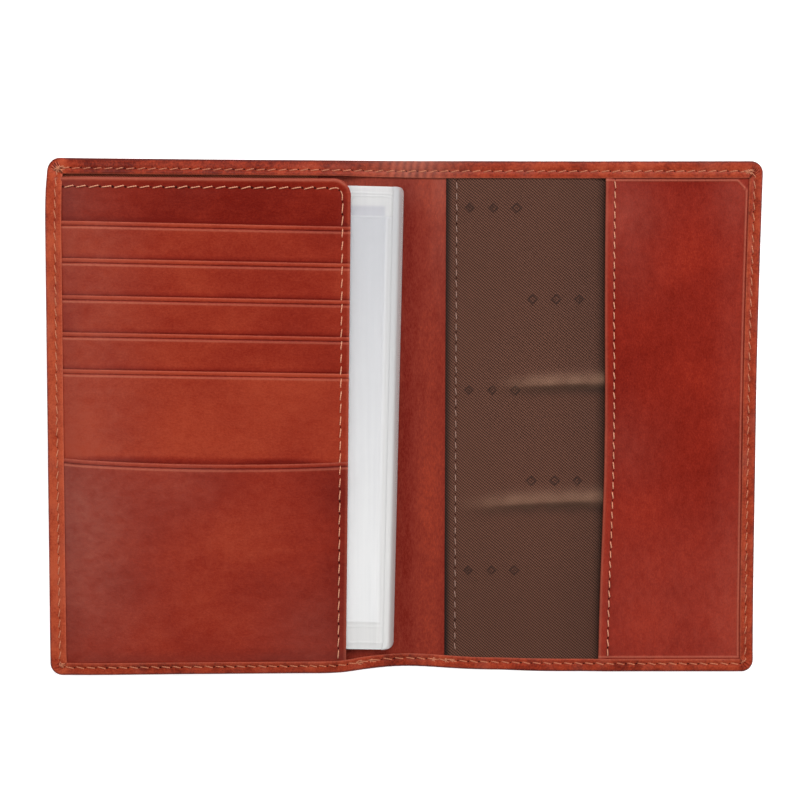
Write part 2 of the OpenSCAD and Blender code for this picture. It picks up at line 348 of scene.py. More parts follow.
class Look:
    """A node material, with short ways to add and join its nodes."""

    def __init__(self, name, **shader):
        self.material = bpy.data.materials.new(name)
        self.material.use_nodes = True
        self.tree = self.material.node_tree
        self.shader = self.tree.nodes["Principled BSDF"]
        for socket, value in shader.items():
            self.shader.inputs[socket.replace("_", " ")].default_value = value

    def node(self, kind, out, settings=None, **inputs):
        made = self.tree.nodes.new(kind)
        for key, value in (settings or {}).items():
            setattr(made, key, value)
        for key, value in inputs.items():
            place = int(key[1:]) if key[0] == "i" and key[1:].isdigit() else key.replace("_", " ")
            socket = made.inputs[place]
            if isinstance(value, bpy.types.NodeSocket):
                self.tree.links.new(value, socket)
            else:
                socket.default_value = value
        return made.outputs[out]

    def kept(self, name, vector=False):
        """A value stored on the mesh's points."""
        out = "Vector" if vector else "Fac"
        return self.node("ShaderNodeAttribute", out, {"attribute_name": name})

    def calc(self, kind, a, b, clamp=False):
        settings = {"operation": kind, "use_clamp": clamp}
        return self.node("ShaderNodeMath", 0, settings, i0=a, i1=b)

    def add(self, a, b):
        return self.calc("ADD", a, b)

    def times(self, a, b):
        return self.calc("MULTIPLY", a, b)

    def swing(self, noise, amount):
        """A noise made to swing by amount about zero."""
        return self.times(self.calc("SUBTRACT", noise, 0.5), amount)

    def scaled(self, value, factor, offset, clamp=False):
        made = self.calc("MULTIPLY_ADD", value, factor, clamp)
        made.node.inputs[2].default_value = offset
        return made

    def rest_place(self):
        """Where each point lies at rest, so that the pattern stays put when a cover folds."""
        return self.kept("rest", vector=True)

    def parts(self, vector):
        split = self.tree.nodes.new("ShaderNodeSeparateXYZ")
        self.tree.links.new(vector, split.inputs[0])
        return split.outputs

    def noise(self, place, scale, detail=2.0, rough=0.5, stretch=None, warp=0.0):
        if stretch:
            place = self.node("ShaderNodeMapping", 0, Vector=place, Scale=stretch)
        return self.node(
            "ShaderNodeTexNoise", "Fac", Vector=place, Scale=scale, Detail=detail,
            Roughness=rough, Distortion=warp,
        )

    def ramp(self, factor, stops):
        made = self.tree.nodes.new("ShaderNodeValToRGB")
        bar = made.color_ramp
        while len(bar.elements) < len(stops):
            bar.elements.new(0.5)
        for element, (place, colour) in zip(bar.elements, stops):
            element.position = place
            element.color = (*colour, 1)
        self.tree.links.new(factor, made.inputs[0])
        return made.outputs[0]

    def mix(self, factor, a, b):
        made = self.tree.nodes.new("ShaderNodeMix")
        made.data_type = "RGBA"
        for place, value in ((0, factor), (6, a), (7, b)):
            if isinstance(value, bpy.types.NodeSocket):
                self.tree.links.new(value, made.inputs[place])
            else:
                made.inputs[place].default_value = (*value, 1) if place else value
        return made.outputs[2]

    def bumps(self, *layers):
        """Chained bump nodes; each layer is (height socket, strength, depth in metres)."""
        normal = None
        for height, strength, depth in layers:
            inputs = {"Height": height, "Strength": strength, "Distance": depth}
            if normal:
                inputs["Normal"] = normal
            normal = self.node("ShaderNodeBump", 0, **inputs)
        self.tree.links.new(normal, self.shader.inputs["Normal"])

    def join(self, value, socket):
        self.tree.links.new(value, self.shader.inputs[socket])


# Painted light: a pinkish painted sheen standing for soft reflections on the leather, and a lighter
# painted highlight for edges, folds and creases.
SHEEN_COLOUR = (0.30, 0.105, 0.080)
EDGE_HIGHLIGHT_COLOUR = (0.47, 0.135, 0.082)


def leather(name, dark, mid, bright, grain=1.0, roughness=0.42, streak=(1, 1, 1), worn=1.0):
    """Vegetable-tanned leather, polished by hand: clouded colour, fine grain, painted sheen and painted
    edge highlights.

    It reads tone (how bright the dye came out, with painted shade and highlights added in places),
    the painted edge highlights and the painted sheen from the mesh's points.
    """
    look = Look(name, Specular_IOR_Level=0.075, Coat_Weight=0.02, Coat_Roughness=0.25)
    rest = look.rest_place()
    clouds = look.noise(rest, 0.055, 3.0, 0.55, streak, 0.6)
    mottle = look.noise(rest, 0.33, 4.0, 0.6, streak, 0.3)
    fibre = look.noise(rest, 1.6, 3.0, 0.65, streak)
    pores = look.noise(rest, 5.5, 2.0, 0.6)
    small, fine = look.swing(mottle, 0.36 * worn), look.swing(fibre, 0.75 * worn)
    fine = look.add(fine, look.swing(pores, 0.5))
    clouded = look.add(look.swing(clouds, 0.5), look.add(small, fine))
    tone = look.add(look.kept("tone"), clouded)
    colour = look.ramp(look.add(tone, 0.5), [(0.0, dark), (0.5, mid), (1.0, bright)])
    # Painted sheen, mixed in where the mesh marks it.
    sheen_mask = look.calc("MULTIPLY", look.kept("haze"), look.add(mottle, 0.25), clamp=True)
    colour = look.mix(sheen_mask, colour, SHEEN_COLOUR)
    # Painted highlight on edges, folds and creases, where the mesh marks it.
    highlight_mask = look.calc("MULTIPLY", look.kept("rub"), look.add(fibre, 0.4), clamp=True)
    look.join(look.mix(highlight_mask, colour, EDGE_HIGHLIGHT_COLOUR), "Base Color")
    gloss = look.add(look.times(mottle, 0.22), roughness - 0.11)
    look.join(look.add(gloss, look.times(sheen_mask, 0.12)), "Roughness")
    cells = look.node("ShaderNodeTexVoronoi", "Distance", {"feature": "F1"}, Vector=rest, Scale=2.4)
    look.bumps(
        (mottle, 0.25 * grain, 0.0004), (cells, 0.18 * grain, 0.00012),
        (pores, 0.22 * grain, 0.00008),
    )
    return look.material


def twill(name, light, dark, pitch=1.13):
    """Fabric in a diagonal weave.

    It reads motif (a woven figure), shade (painted shade and shadow) and lit (a painted highlight on
    the folds' crests) from the mesh.
    """
    look = Look(name, Roughness=0.62, Sheen_Weight=0.08, Sheen_Roughness=0.4, Specular_IOR_Level=0.12)
    rest = look.rest_place()
    x, y, _ = look.parts(rest)
    wander = look.times(look.noise(rest, 0.12, 2.0), 0.9)
    across = look.add(look.add(x, look.times(y, 1.2)), wander)
    turns = look.times(across, 2 * math.pi / pitch)
    rib = look.scaled(look.calc("SINE", turns, 0.0), 0.5, 0.5)
    along = look.calc("SUBTRACT", x, look.times(y, 0.76))
    floats = look.calc("SINE", look.times(along, 2 * math.pi / (0.68 * pitch)), 0.0)
    rib = look.calc("ADD", rib, look.times(floats, 0.32), clamp=True)
    speckle = look.noise(rest, 2.6, 3.0, 0.7)
    tone = look.add(look.times(rib, 0.72), look.times(speckle, 0.34))
    colour = look.ramp(tone, [(0.12, dark), (0.92, light)])
    colour = look.mix(look.kept("motif"), colour, (0.024, 0.010, 0.007))
    # Painted shade and shadow, mixed toward near black.
    colour = look.mix(look.kept("shade"), colour, (0.008, 0.004, 0.003))
    # Painted highlight on the folds' crests.
    colour = look.mix(look.kept("lit"), colour, (0.30, 0.165, 0.105))
    look.join(colour, "Base Color")
    look.bumps((rib, 0.7, 0.00012), (speckle, 0.25, 0.00006))
    return look.material


def thread_look(name, colour, pale):
    """Waxed polyester thread, with fine paler flecks."""
    look = Look(name, Roughness=0.48, Sheen_Weight=0.2)
    rest = look.rest_place()
    fluff = look.noise(rest, 3.5, 3.0, 0.7)
    look.join(look.ramp(fluff, [(0.3, colour), (0.72, pale)]), "Base Color")
    look.bumps((look.noise(rest, 9.0, 2.0), 0.4, 0.00006))
    return look.material


def hole_look(name):
    """The shade inside a needle hole."""
    look = Look(name, Roughness=0.9, Specular_IOR_Level=0.05)
    shades = [(0.3, (0.020, 0.004, 0.003)), (0.8, (0.045, 0.010, 0.006))]
    look.join(look.ramp(look.noise(look.rest_place(), 2.0), shades), "Base Color")
    return look.material


def film_look(name):
    """Clear vinyl, a little milky and glossy, with faint drag lines, darker towards its top.

    It reads bare (film with no card behind), the painted shadow in a lilac band above the pocket's
    mouth, and rim (a warm painted reflection of the leather) from the mesh.
    """
    look = Look(name, IOR=1.45, Coat_Weight=0.15, Coat_Roughness=0.22, Alpha=0.42)
    rest = look.rest_place()
    drag = look.noise(rest, 0.5, 3.0, 0.6, (1.6, 0.05, 1))
    dull = look.noise(rest, 0.9, 3.0, 0.6)
    pale = look.ramp(drag, [(0.25, (0.90, 0.895, 0.89)), (0.75, (0.98, 0.97, 0.96))])
    up = look.scaled(look.parts(rest)[1], 1 / 130, 0.35, clamp=True)
    up = look.times(up, look.calc("SUBTRACT", 1.0, look.kept("bare")))
    colour = look.mix(up, pale, (0.58, 0.585, 0.615))
    # Painted shadow: a lilac-grey band just above the pocket's mouth.
    colour = look.mix(look.kept("tint"), colour, (0.50, 0.50, 0.60))
    # Painted reflection of the leather, warm grey, along the folded edge.
    look.join(look.mix(look.kept("rim"), colour, (0.43, 0.38, 0.37)), "Base Color")
    look.join(look.scaled(dull, 0.2, 0.24), "Roughness")
    look.bumps((drag, 0.05, 0.0002), (dull, 0.06, 0.0002))
    return look.material


def pulp_look(name, dark, pale, roughness, scale, detail, rough, relief):
    """Paper or board, with its fibres showing faintly."""
    look = Look(name, Roughness=roughness)
    fibre = look.noise(look.node("ShaderNodeTexCoord", "Object"), scale, detail, rough)
    look.join(look.ramp(fibre, [(0.3, dark), (0.7, pale)]), "Base Color")
    look.bumps((fibre, *relief))
    return look.material


def floor_look(name):
    look = Look(name, Roughness=0.9, Specular_IOR_Level=0.1, Emission_Strength=0.7)
    look.shader.inputs["Base Color"].default_value = (0.75, 0.75, 0.75, 1)
    look.shader.inputs["Emission Color"].default_value = (1, 1, 1, 1)
    return look.material


DARK = (0.135, 0.0055, 0.0020)
MID = (0.232, 0.0170, 0.0066)
BRIGHT = (0.335, 0.0410, 0.0155)
FLAP_TONES = (0.135, 0.0055, 0.0022), (0.235, 0.0150, 0.0062), (0.345, 0.0310, 0.0110)
HEM_TONES = (0.10, 0.006, 0.0025), (0.29, 0.031, 0.0105), (0.44, 0.074, 0.028)
WHITES = (0.80, 0.81, 0.84), (0.88, 0.885, 0.90)
GREYS = (0.33, 0.27, 0.19), (0.48, 0.41, 0.30)
outer_look = leather("outer_leather", DARK, (0.22, 0.020, 0.009), BRIGHT)
hem_look = leather("turned_edge_leather", *HEM_TONES, worn=1.7)
panel_look = leather("card_panel_leather", DARK, MID, BRIGHT, streak=(0.8, 1.2, 1))
CENTRE_TONES = DARK, (0.205, 0.022, 0.0115), BRIGHT
centre_look = leather("centre_leather", *CENTRE_TONES, 1.4, 0.48, (1.5, 0.6, 1), 1.5)
flap_leather = leather("flap_leather", *FLAP_TONES, 1.2, 0.44, (1.3, 0.8, 1), 1.3)
fabric_look = twill("lining_twill", (0.165, 0.065, 0.040), (0.013, 0.0052, 0.0035))
plain_fabric_look = twill("backing_twill", (0.10, 0.055, 0.040), (0.022, 0.011, 0.008), 0.8)
# The left lining shows only in the deep gap under the top hem; its colour is brighter and redder than
# the other linings, as painted light that lifts the shade there.
left_fabric_look = twill("left_twill", (0.46, 0.105, 0.055), (0.16, 0.034, 0.018), 0.8)
hem_thread = thread_look("orange_thread", (0.36, 0.085, 0.034), (0.66, 0.24, 0.115))
panel_thread = thread_look("pale_orange_thread", (0.56, 0.185, 0.090), (0.84, 0.42, 0.25))
dull_thread = thread_look("brown_thread", (0.22, 0.11, 0.08), (0.46, 0.28, 0.22))
hole_material = hole_look("needle_hole")
film_material = film_look("clear_vinyl_film")
card_material = pulp_look("white_paper", *WHITES, 0.6, 900.0, 3.0, 0.7, (0.15, 0.00005))
board_material = pulp_look("grey_board", *GREYS, 0.85, 260.0, 5.0, 0.75, (0.4, 0.0001))


# ---- outer hide ----


def hide_grid(side):
    """A grid over one half, drawn in a little from the outline and its rounded corners."""
    reach = HALF_W - HIDE_INSET
    r = CORNER_R - HIDE_INSET
    near = list(np.arange(0, 8, 0.4))
    corner = [reach - r * (1 - math.sin(a)) for a in np.linspace(0, math.pi / 2, 9)]
    u = span(0, reach, 2.2, extra=near + corner)
    v = np.linspace(0, 1, 70)
    cut = rounded(reach - u, r)
    low, high = foot_y(u) + HIDE_INSET + cut, top_y(u) - HIDE_INSET - cut
    return between(side * u, low, high, v)


def outer_hide(side):
    x, y = hide_grid(side)
    under = 0.0 * x
    tone = 0.10 * ripple(x, y, 60, 3 + side) - 0.05
    # Painted highlights along the spine's creases and its middle, and a faint painted sheen all over.
    crease = hump(np.abs(x), 2.2, 0.5) + 0.6 * hump(np.abs(x), 4.6, 0.7)
    rub = 0.5 * crease + 0.35 * hump(np.abs(x), 0, 1.2)
    shell = sheet_shell(x, y, under + OUTER_T, under, tone=tone, rub=rub, haze=0.1)
    nodes = f"outer_leather_{half_of(side)}", "outer_leather_spine"
    place_bent("outer_hide", [shell], [outer_look], side, "outer_leather", *nodes)


# ---- card panel heights ----


def panel_lift(x, y):
    """The height of the panel's underside: it lies on the insert, and comes down to its sewn edges."""
    side = 0.25 + 0.75 * ramp(x, -HALF_W + 1.5, -HALF_W + 13.5)
    foot = 0.45 + 0.55 * ramp(y, -HALF_H + 1.5, -HALF_H + 8.5)
    soft = 0.07 * ripple(x, y, 46, 5)
    return LINING_TOP + (PANEL_Z - LINING_TOP) * side * foot + soft * side


def squeeze(x):
    """How much of the strips' stepped height is left where they are sewn down."""
    sewn_left = 0.55 + 0.45 * ramp(x, -HALF_W + 1, -HALF_W + 10)
    return sewn_left * (1 - 0.2 * hump(x, PANEL_X - PANEL_SEAM, 1.1))


def level(x, y):
    """How far up the leaning slots' own scale a point is."""
    return y + SLOT_LEAN * (x - PANEL_MID)


def pocket_edge(x):
    half = (HALF_W + PANEL_X) / 2
    return POCKET_Y - POCKET_SAG * (1 - ((x - PANEL_MID) / half) ** 2)


def edge_level(i, x):
    """The level of strip i's top edge; the bottom pocket counts as the last strip."""
    return SLOT_Y[i] + 0 * x if i < SLOTS else pocket_edge(x)


def strip_height(i, down):
    """Strip i's own upper face above the panel's underside, at a distance down from its edge."""
    if i == SLOTS:
        fall = 1.15 * np.clip(down / (POCKET_Y + HALF_H), 0, 1) ** 0.8
    elif i == SLOTS - 1:
        fall = 0.02 * down
    else:
        fall = 0.5 * down / (SLOT_Y[0] - SLOT_Y[1])
    return STRIP_RISE - fall


def band_height(up):
    """The top band's upper face above the panel's underside, up from the first slot."""
    return 1.28 - 0.03 * up


def panel_top(x, y):
    """The height of the panel's upper face, without the strips' own folds."""
    at = level(x, y)
    rise = band_height(at - SLOT_Y[0])
    for i in range(SLOTS + 1):
        edge = edge_level(i, x)
        rise = np.where(at < edge, strip_height(i, edge - at), rise)
    return panel_lift(x, y) + squeeze(x) * rise


# ---- turned edge ----


def perimeter(side):
    """One half's outline, from the spine's top round to its foot, and the hem's inner edge."""
    along = span(0, HALF_W - CORNER_R, 0.8, 0, 0, list(np.arange(0, 9, 0.4)))
    turn = np.linspace(0, math.pi / 2, 37)[1:-1]
    cx, cy = HALF_W - CORNER_R, HALF_H - CORNER_R
    down = span(-cy, cy, 0.8)[::-1]
    top = [(a, top_y(a)) for a in along]
    corner = [(cx + CORNER_R * math.sin(t), cy + CORNER_R * math.cos(t)) for t in turn]
    edge = [(HALF_W, v) for v in down]
    low_corner = [(px, -py) for px, py in corner[::-1]]
    foot = [(a, foot_y(a)) for a in along[::-1]]
    outer = np.array(top + corner + edge + low_corner + foot, float)
    wx = np.minimum(outer[:, 0], HALF_W - HEM_SIDE[side])
    wy = np.clip(outer[:, 1], foot_y(wx) + HEM_FOOT, top_y(wx) - hem_top(side * wx))
    outer[:, 0] *= side
    return outer, np.stack([side * wx, wy], 1)


def under_hem(side, x, y):
    """The height of what the turned-in leather lies on."""
    low = LINING_TOP + 0 * x
    if side > 0:
        return low + (FLAP_Z - LINING_TOP) * ramp(x, FLAP_TOP_X - 3.0, FLAP_TOP_X + 0.5)
    on_panel = ramp(-x, -PANEL_X - 3.4, -PANEL_X - 0.6) * ramp(-y, -PANEL_TOP - 2.5, -PANEL_TOP + 2.0)
    return low + (panel_top(x, y) - low) * on_panel


def corner_turn(outer):
    """How near each outline point is to a corner's middle, 0 to 1, and its angle round the corner."""
    ax = np.abs(outer[:, 0]) - (HALF_W - CORNER_R)
    ay = np.abs(outer[:, 1]) - (HALF_H - CORNER_R)
    angle = np.arctan2(np.maximum(ay, 0), np.maximum(ax, 0) + 1e-9)
    inside = (ax > 0) & (ay > 0)
    return np.where(inside, np.sin(2 * angle), 0), np.where(inside, angle, 0)


def distances(line):
    """How far along a line of points each one is."""
    steps = np.linalg.norm(np.diff(line[:, :2], axis=0), axis=1)
    return np.concatenate([[0], np.cumsum(steps)])


def crumple(x, n):
    """The small creases that cross the turned edge where it bunches over the spine."""
    return np.sin(2 * np.pi * x / 2.6 + 1.6 * np.sin(x / 3.3) + 0.4 * n)


class Hem:
    """The turned-in leather of one half, as a strip of cross-sections round its outline."""

    def __init__(self, side):
        self.side = side
        self.outer, self.window = perimeter(side)
        gap = self.window - self.outer
        self.width = np.linalg.norm(gap, axis=1)
        self.inward = gap / self.width[:, None]
        self.arc = distances(self.outer)
        ox, oy = self.outer.T
        wx, wy = self.window.T
        self.is_side = np.abs(ox) > HALF_W - 0.01
        rim_x, rim_y = (self.outer + self.inward * 1.6).T
        self.rim_z = under_hem(side, rim_x, rim_y) + 0.36
        self.edge_z = under_hem(side, wx, wy) + 0.46
        across = np.where(oy > 0, TOP_ROW, FOOT_ROW)
        corner, _ = corner_turn(self.outer)
        self.row = np.where(self.is_side, SIDE_ROW[side], across) + corner * 0.5
        self.smooth_rows()

    def smooth_rows(self):
        reach = 7
        kernel = np.hanning(2 * reach + 1)
        kernel /= kernel.sum()
        for name in ("row", "rim_z", "edge_z"):
            value = np.pad(getattr(self, name), reach, "edge")
            setattr(self, name, np.convolve(value, kernel, "valid"))

    def lip(self, n):
        """The height of the lip's upper face at n in from the outline, for every cross-section."""
        share = np.clip((n - RIM) / (self.width - RIM), 0, 1)
        z = self.rim_z + (self.edge_z - self.rim_z) * ease(share)
        pucker = 1 + 0.45 * np.cos(2 * np.pi * self.arc / EDGE_PITCH)
        z = z + 0.14 * np.sin(np.pi * np.clip(n / self.row, 0, 1)) ** 1.3
        z = z + 0.07 * np.sin(np.pi * np.clip((n - self.row) / (self.width - self.row), 0, 1))
        z = z - 0.15 * pucker * hump(n, self.row, 0.55)
        corner, angle = corner_turn(self.outer)
        pleat = 0.24 * corner * np.sin(15 * angle + 0.6) * np.sin(np.pi * np.clip(share, 0, 1)) ** 0.5
        near_spine = hump(self.outer[:, 0], 1.5, 11) * (1 - self.is_side)
        bunched = 0.10 * near_spine * crumple(self.outer[:, 0], n)
        wave = 0.05 * ripple(self.outer[:, 0], self.outer[:, 1], 17, 8)
        return z + pleat + bunched + wave

    def sections(self):
        """Rings of points: n in from the outline and z, all round the closed cross-section."""
        ring = []
        for a in np.radians(np.linspace(-90, 90, 13)):
            n = RIM * (1 - math.cos(a)) + 0 * self.arc
            ring.append((n, self.rim_z / 2 * (1 + math.sin(a))))
        base = self.lip(RIM + 0 * self.arc) - self.rim_z
        ring = [(n, z + base * ramp(z, 0, self.rim_z)) for n, z in ring]
        for share in np.linspace(0, 1, 19)[1:-1]:
            n = RIM + (self.width - RIM - LIP_R) * share
            ring.append((n, self.lip(n)))
        lip_end = self.lip(self.width - LIP_R)
        for a in np.radians([20, 45, 70, 90]):
            n = self.width - LIP_R + LIP_R * math.sin(a)
            ring.append((n, lip_end - LIP_R * (1 - math.cos(a))))
        ring.append((self.width - 0.05, lip_end - 0.5))
        ring.append((np.maximum(self.width - 1.2, 1.9), lip_end - 0.52))
        ring.append((1.6 + 0 * self.arc, np.minimum(self.rim_z - 0.5, 1.3)))
        ring.append((RIM + 0.02 + 0 * self.arc, 0.6 + 0 * self.arc))
        return ring

    def points(self, n, z):
        place = self.outer + self.inward * np.asarray(n).reshape(-1, 1)
        return np.column_stack([place, np.broadcast_to(z, len(place))])

    def rings(self):
        return np.stack([self.points(n, z) for n, z in self.sections()], 1)

    def row_line(self):
        """The line that the stitches follow on the lip, and the inward direction beside it."""
        return self.points(self.row, self.lip(self.row)), self.inward * self.slant_way()

    def slant_way(self):
        """Stitches lean one way along the top edge of the wallet and the other way along its foot."""
        flip = np.where(self.outer[:, 1] > 0, self.side, -self.side)
        return flip.reshape(-1, 1)

    def under_line(self):
        """The same line on the hide's outer face."""
        return self.points(self.row, 0 * self.arc), self.inward * self.slant_way()


def turned_edge(hem):
    rings = hem.rings()
    across = np.arange(rings.shape[1])
    n = np.stack([np.asarray(s[0]) for s in hem.sections()], 1)
    x, y = rings[..., 0], rings[..., 1]
    near_spine = hump(x, 2, 14)
    # Painted light and shade on the creases that bunch over the spine: lighter where they rise, darker
    # where they sink.
    crease = near_spine * (y > 0) * crumple(x, n)
    tone = 0.12 * ripple(x, y, 23, 4) + 0.1 * ripple(x, y, 5, 7) - 0.1 * near_spine + 0.22 * crease
    tone = tone - 0.05 * (y < -HALF_H + 6) + 0.10 * ripple(x, y, 9, 11)
    tone = tone + np.where(y > 60, -0.12 * ramp(-x, -60, 20), 0.0) + 0.32 * ramp(-x, 106, 109)
    # The rounded outer wall of the fold is made darker all round.
    outer_wall = (across < 13) * (1 - ramp(n, 0.25, 0.9))
    tone = tone - 0.55 * outer_wall
    # Painted highlights on the hem's inner cut edge and on the creases over the spine.
    cut = hump(n, hem.width[:, None] - 0.1, 0.3) * (across > 14)
    rub = 0.3 * cut + near_spine * (y > 0) * (0.15 + 0.15 * crease)
    # The top corners, the left one most, are made darker, with light and dark stripes painted for the
    # light and shade on crumpled leather, and painted highlights on the light stripes.
    turn, angle = (part[:, None] for part in corner_turn(hem.outer))
    crushed = (1.0 if hem.side < 0 else 0.25) * turn * ramp(n, 0.8, 1.8) * (y > 0)
    fold = crushed * np.sin(24 * angle + 0.6 + 0.5 * n)
    tone = tone + 0.75 * fold - 0.45 * crushed
    rub = rub + 0.8 * np.clip(fold, 0, 1)
    top_left = ramp(y, 60, 70) * ramp(-x, 20, 40)
    tone = tone - 0.10 * top_left
    # Painted sheen in patches, less at the top left, and strongest over the spine.
    patchy_sheen = (0.05 + 0.16 * np.clip(ripple(x, y, 12, 9), 0, 1)) * (1 - 0.8 * top_left)
    haze = 0.5 * near_spine * (y > 0) + patchy_sheen
    shell = tube_shell(rings, tone=tone, rub=rub, haze=haze)
    nodes = [f"turned_edge_{half_of(hem.side)}_{part}" for part in ("side", "top", "bottom")]
    place_bent(
        "turned_edge", [shell], [hem_look], hem.side, "outer_leather", "turned_edge_spine", *nodes
    )


# ---- stitches ----


def along_line(line, places):
    """Points at these distances along a line of points."""
    arc = distances(line)
    return np.stack([np.interp(places, arc, column) for column in line.T], 1)


def twisted(path, radius, turns):
    """Two twisted plies of thread along a path of points."""
    count, sides = len(path), 6
    ahead = np.gradient(path, axis=0)
    ahead /= np.linalg.norm(ahead, axis=1, keepdims=True)
    side = np.cross(ahead, [0, 0, 1.0])
    side /= np.linalg.norm(side, axis=1, keepdims=True) + 1e-9
    up = np.cross(side, ahead)
    t = np.linspace(0, 1, count)
    plump = radius * np.clip(np.minimum(t, 1 - t) * 7 + 0.35, 0, 1)
    shells = []
    for phase in (0, math.pi):
        turn = 2 * math.pi * turns * t + phase
        shift = 0.75 * radius * (np.cos(turn)[:, None] * side + np.sin(turn)[:, None] * up)
        angle = np.linspace(0, 2 * math.pi, sides, endpoint=False)
        cos, sin = np.cos(angle)[None, :, None], np.sin(angle)[None, :, None]
        wall = cos * side[:, None] + sin * up[:, None]
        rings = (path + shift)[:, None] + plump[:, None, None] * wall
        shells.append(tube_shell(rings))
    return shells


def hole(x, y, z, size, outside):
    """A needle hole's shade, painted on a low dark dome."""
    sides = 10
    angle = np.linspace(0, 2 * math.pi, sides, endpoint=False)
    wobble = 1 + 0.12 * np.sin(3 * angle + x)
    way = -1 if outside else 1
    rings = []
    for share, lift in ((1.0, -0.06), (1.0, 0.0), (0.6, 0.035), (0.2, 0.045)):
        px = x + size * share * wobble * np.cos(angle)
        py = y + size * share * wobble * np.sin(angle)
        rings.append(np.stack([px, py, z + way * lift + 0 * px], 1))
    return tube_shell(np.stack(rings), slot=1)


def sew(line, inward, pitch, slant, hole_r, lift=0.16, fill=0.74, radius=THREAD_R,
        outside=False, side_holes=1.0):
    """A row of slanting stitches along a line on the surface, their ends down in needle holes.

    side_holes makes the holes smaller where the row runs up a side.
    """
    both = np.column_stack([line, inward])
    length = distances(line)[-1]
    count = int(length / pitch)
    pitch = length / count
    way = -1 if outside else 1
    shells = []
    for k in range(count):
        first = pitch * (k + (1 - fill) / 2)
        uneven = 0.12 * math.sin(7.3 * k)
        t = np.linspace(0, 1, 11)
        at = along_line(both, first + pitch * fill * t)
        lean = (slant + 0.08 * math.sin(3.7 * k)) * (1 - 2 * t)
        arch = lift * (1 - (2 * t - 1) ** 4) - 0.17 * (np.abs(2 * t - 1) ** 6)
        path = at[:, :3].copy()
        path[:, :2] += at[:, 3:5] * (lean + 0.1 * uneven)[:, None]
        path[:, 2] += way * (arch - 0.02)
        shells += twisted(path, radius, 2.2)
        px, py, pz, across, _ = along_line(both, [pitch * k])[0]
        size = hole_r * (1 + 0.25 * math.sin(5.1 * k)) * (1 + (side_holes - 1) * across**2)
        shells.append(hole(px, py, pz, size, outside))
    return shells


def knot(x, y, z, size, seed, loops):
    """Ends of thread sewn over each other."""
    shells = []
    for k in range(loops):
        turn = seed + 1.9 * k
        t = np.linspace(-1, 1, 11)
        bow = 0.35 * size * np.sin(2.1 * k + seed) * (1 - t * t)
        px = x + size * t * math.cos(turn) - bow * math.sin(turn)
        py = y + 0.6 * size * t * math.sin(turn) + bow * math.cos(turn)
        pz = z + 0.06 + 0.045 * k * (1 - t * t) - 0.2 * t**6
        shells += twisted(np.stack([px, py, pz], 1), THREAD_R, 3)
    return shells


def hem_stitching(hem):
    line, inward = hem.row_line()
    shells = sew(line, inward, EDGE_PITCH, slant=0.30, fill=0.8, hole_r=0.31, side_holes=0.6)
    under, inward = hem.under_line()
    shells += sew(under, inward, EDGE_PITCH, slant=0.2, lift=0.1, hole_r=0.22, outside=True)

    def tied(px, py, size, seed, loops, rise=0.02):
        """A knot that lies on the lip, just above the height of the nearest stitch."""
        nearest = np.argmin(np.hypot(line[:, 0] - px, line[:, 1] - py))
        return knot(px, py, line[nearest, 2] + rise, size, seed, loops)

    by_spine = (-13.5, -9.5) if hem.side < 0 else (9.5, 13.5, 15.5)
    for k, px in enumerate(by_spine):
        shells += tied(px, foot_y(px) + FOOT_ROW, 1.5, 0.4 * k + hem.side, 3)
    row_x = hem.side * (HALF_W - SIDE_ROW[hem.side])
    if hem.side > 0:
        shells += tied(HALF_W - 4.4, HALF_H - 3.6, 1.7, 0.6, 6)
    else:
        shells += tied(row_x + 1.0, HALF_H - 3.8, 2.3, 2.2, 7, 0.26)
    shells += tied(row_x - 0.9 * hem.side, -HALF_H + 3.6, 1.3, 1.1, 4)
    nodes = f"hem_stitching_{half_of(hem.side)}", "spine_stitching"
    place_bent("hem_stitching", shells, [hem_thread, hole_material], hem.side, "thread", *nodes)


# ---- centre leather and linings ----


def centre_leather(side):
    reach = -CENTRE_X if side < 0 else LINING_X + 1.6
    u = span(0, reach, 0.9, extra=np.arange(0, 8, 0.4))
    v = np.linspace(0, 1, 150)
    x, y = between(side * u, foot_y(u) + END_GAP, top_y(u) - END_GAP, v)
    wave = 0.05 * ripple(x, 0.35 * y, 13, 2) + 0.03 * ripple(x, y, 6, 6)
    top = CENTRE_TOP - 0.04 + wave * ramp(np.abs(x), 0.5, 4)
    # A painted highlight on the gentle bulge about 8 mm right of the spine, and a painted shadow along
    # the insert's edge at the spine; lighter towards the top.
    tone = 0.12 * ripple(x, 0.4 * y, 30, 9) + 0.18 * hump(x, 8, 4.5)
    tone = tone - 0.2 * hump(x, 0.5, 2.5) - 0.12 + 0.16 * ramp(y, 62, 74)
    # Painted sheen near the lining and towards the top.
    haze = 0.2 * hump(x, 10.5, 3.5) * ramp(y, 20, 70) + 0.05 + 0.14 * ramp(y, 62, 74)
    shell = sheet_shell(x, y, top, top - STRIP_T + 0.08, tone=tone, haze=haze)
    nodes = f"inner_leather_{half_of(side)}", "inner_leather_spine"
    place_bent("centre_leather", [shell], [centre_look], side, "inner_leather", *nodes)


def cloth(name, x, y, top, thick, material, body, rests_on, flat, **marks):
    """A sheet of cloth that stands for the CAD node of its name."""
    shell = sheet_shell(x, y, top, top - thick, **marks)
    piece = place(name, [shell], [material], body, "lining_fabric")


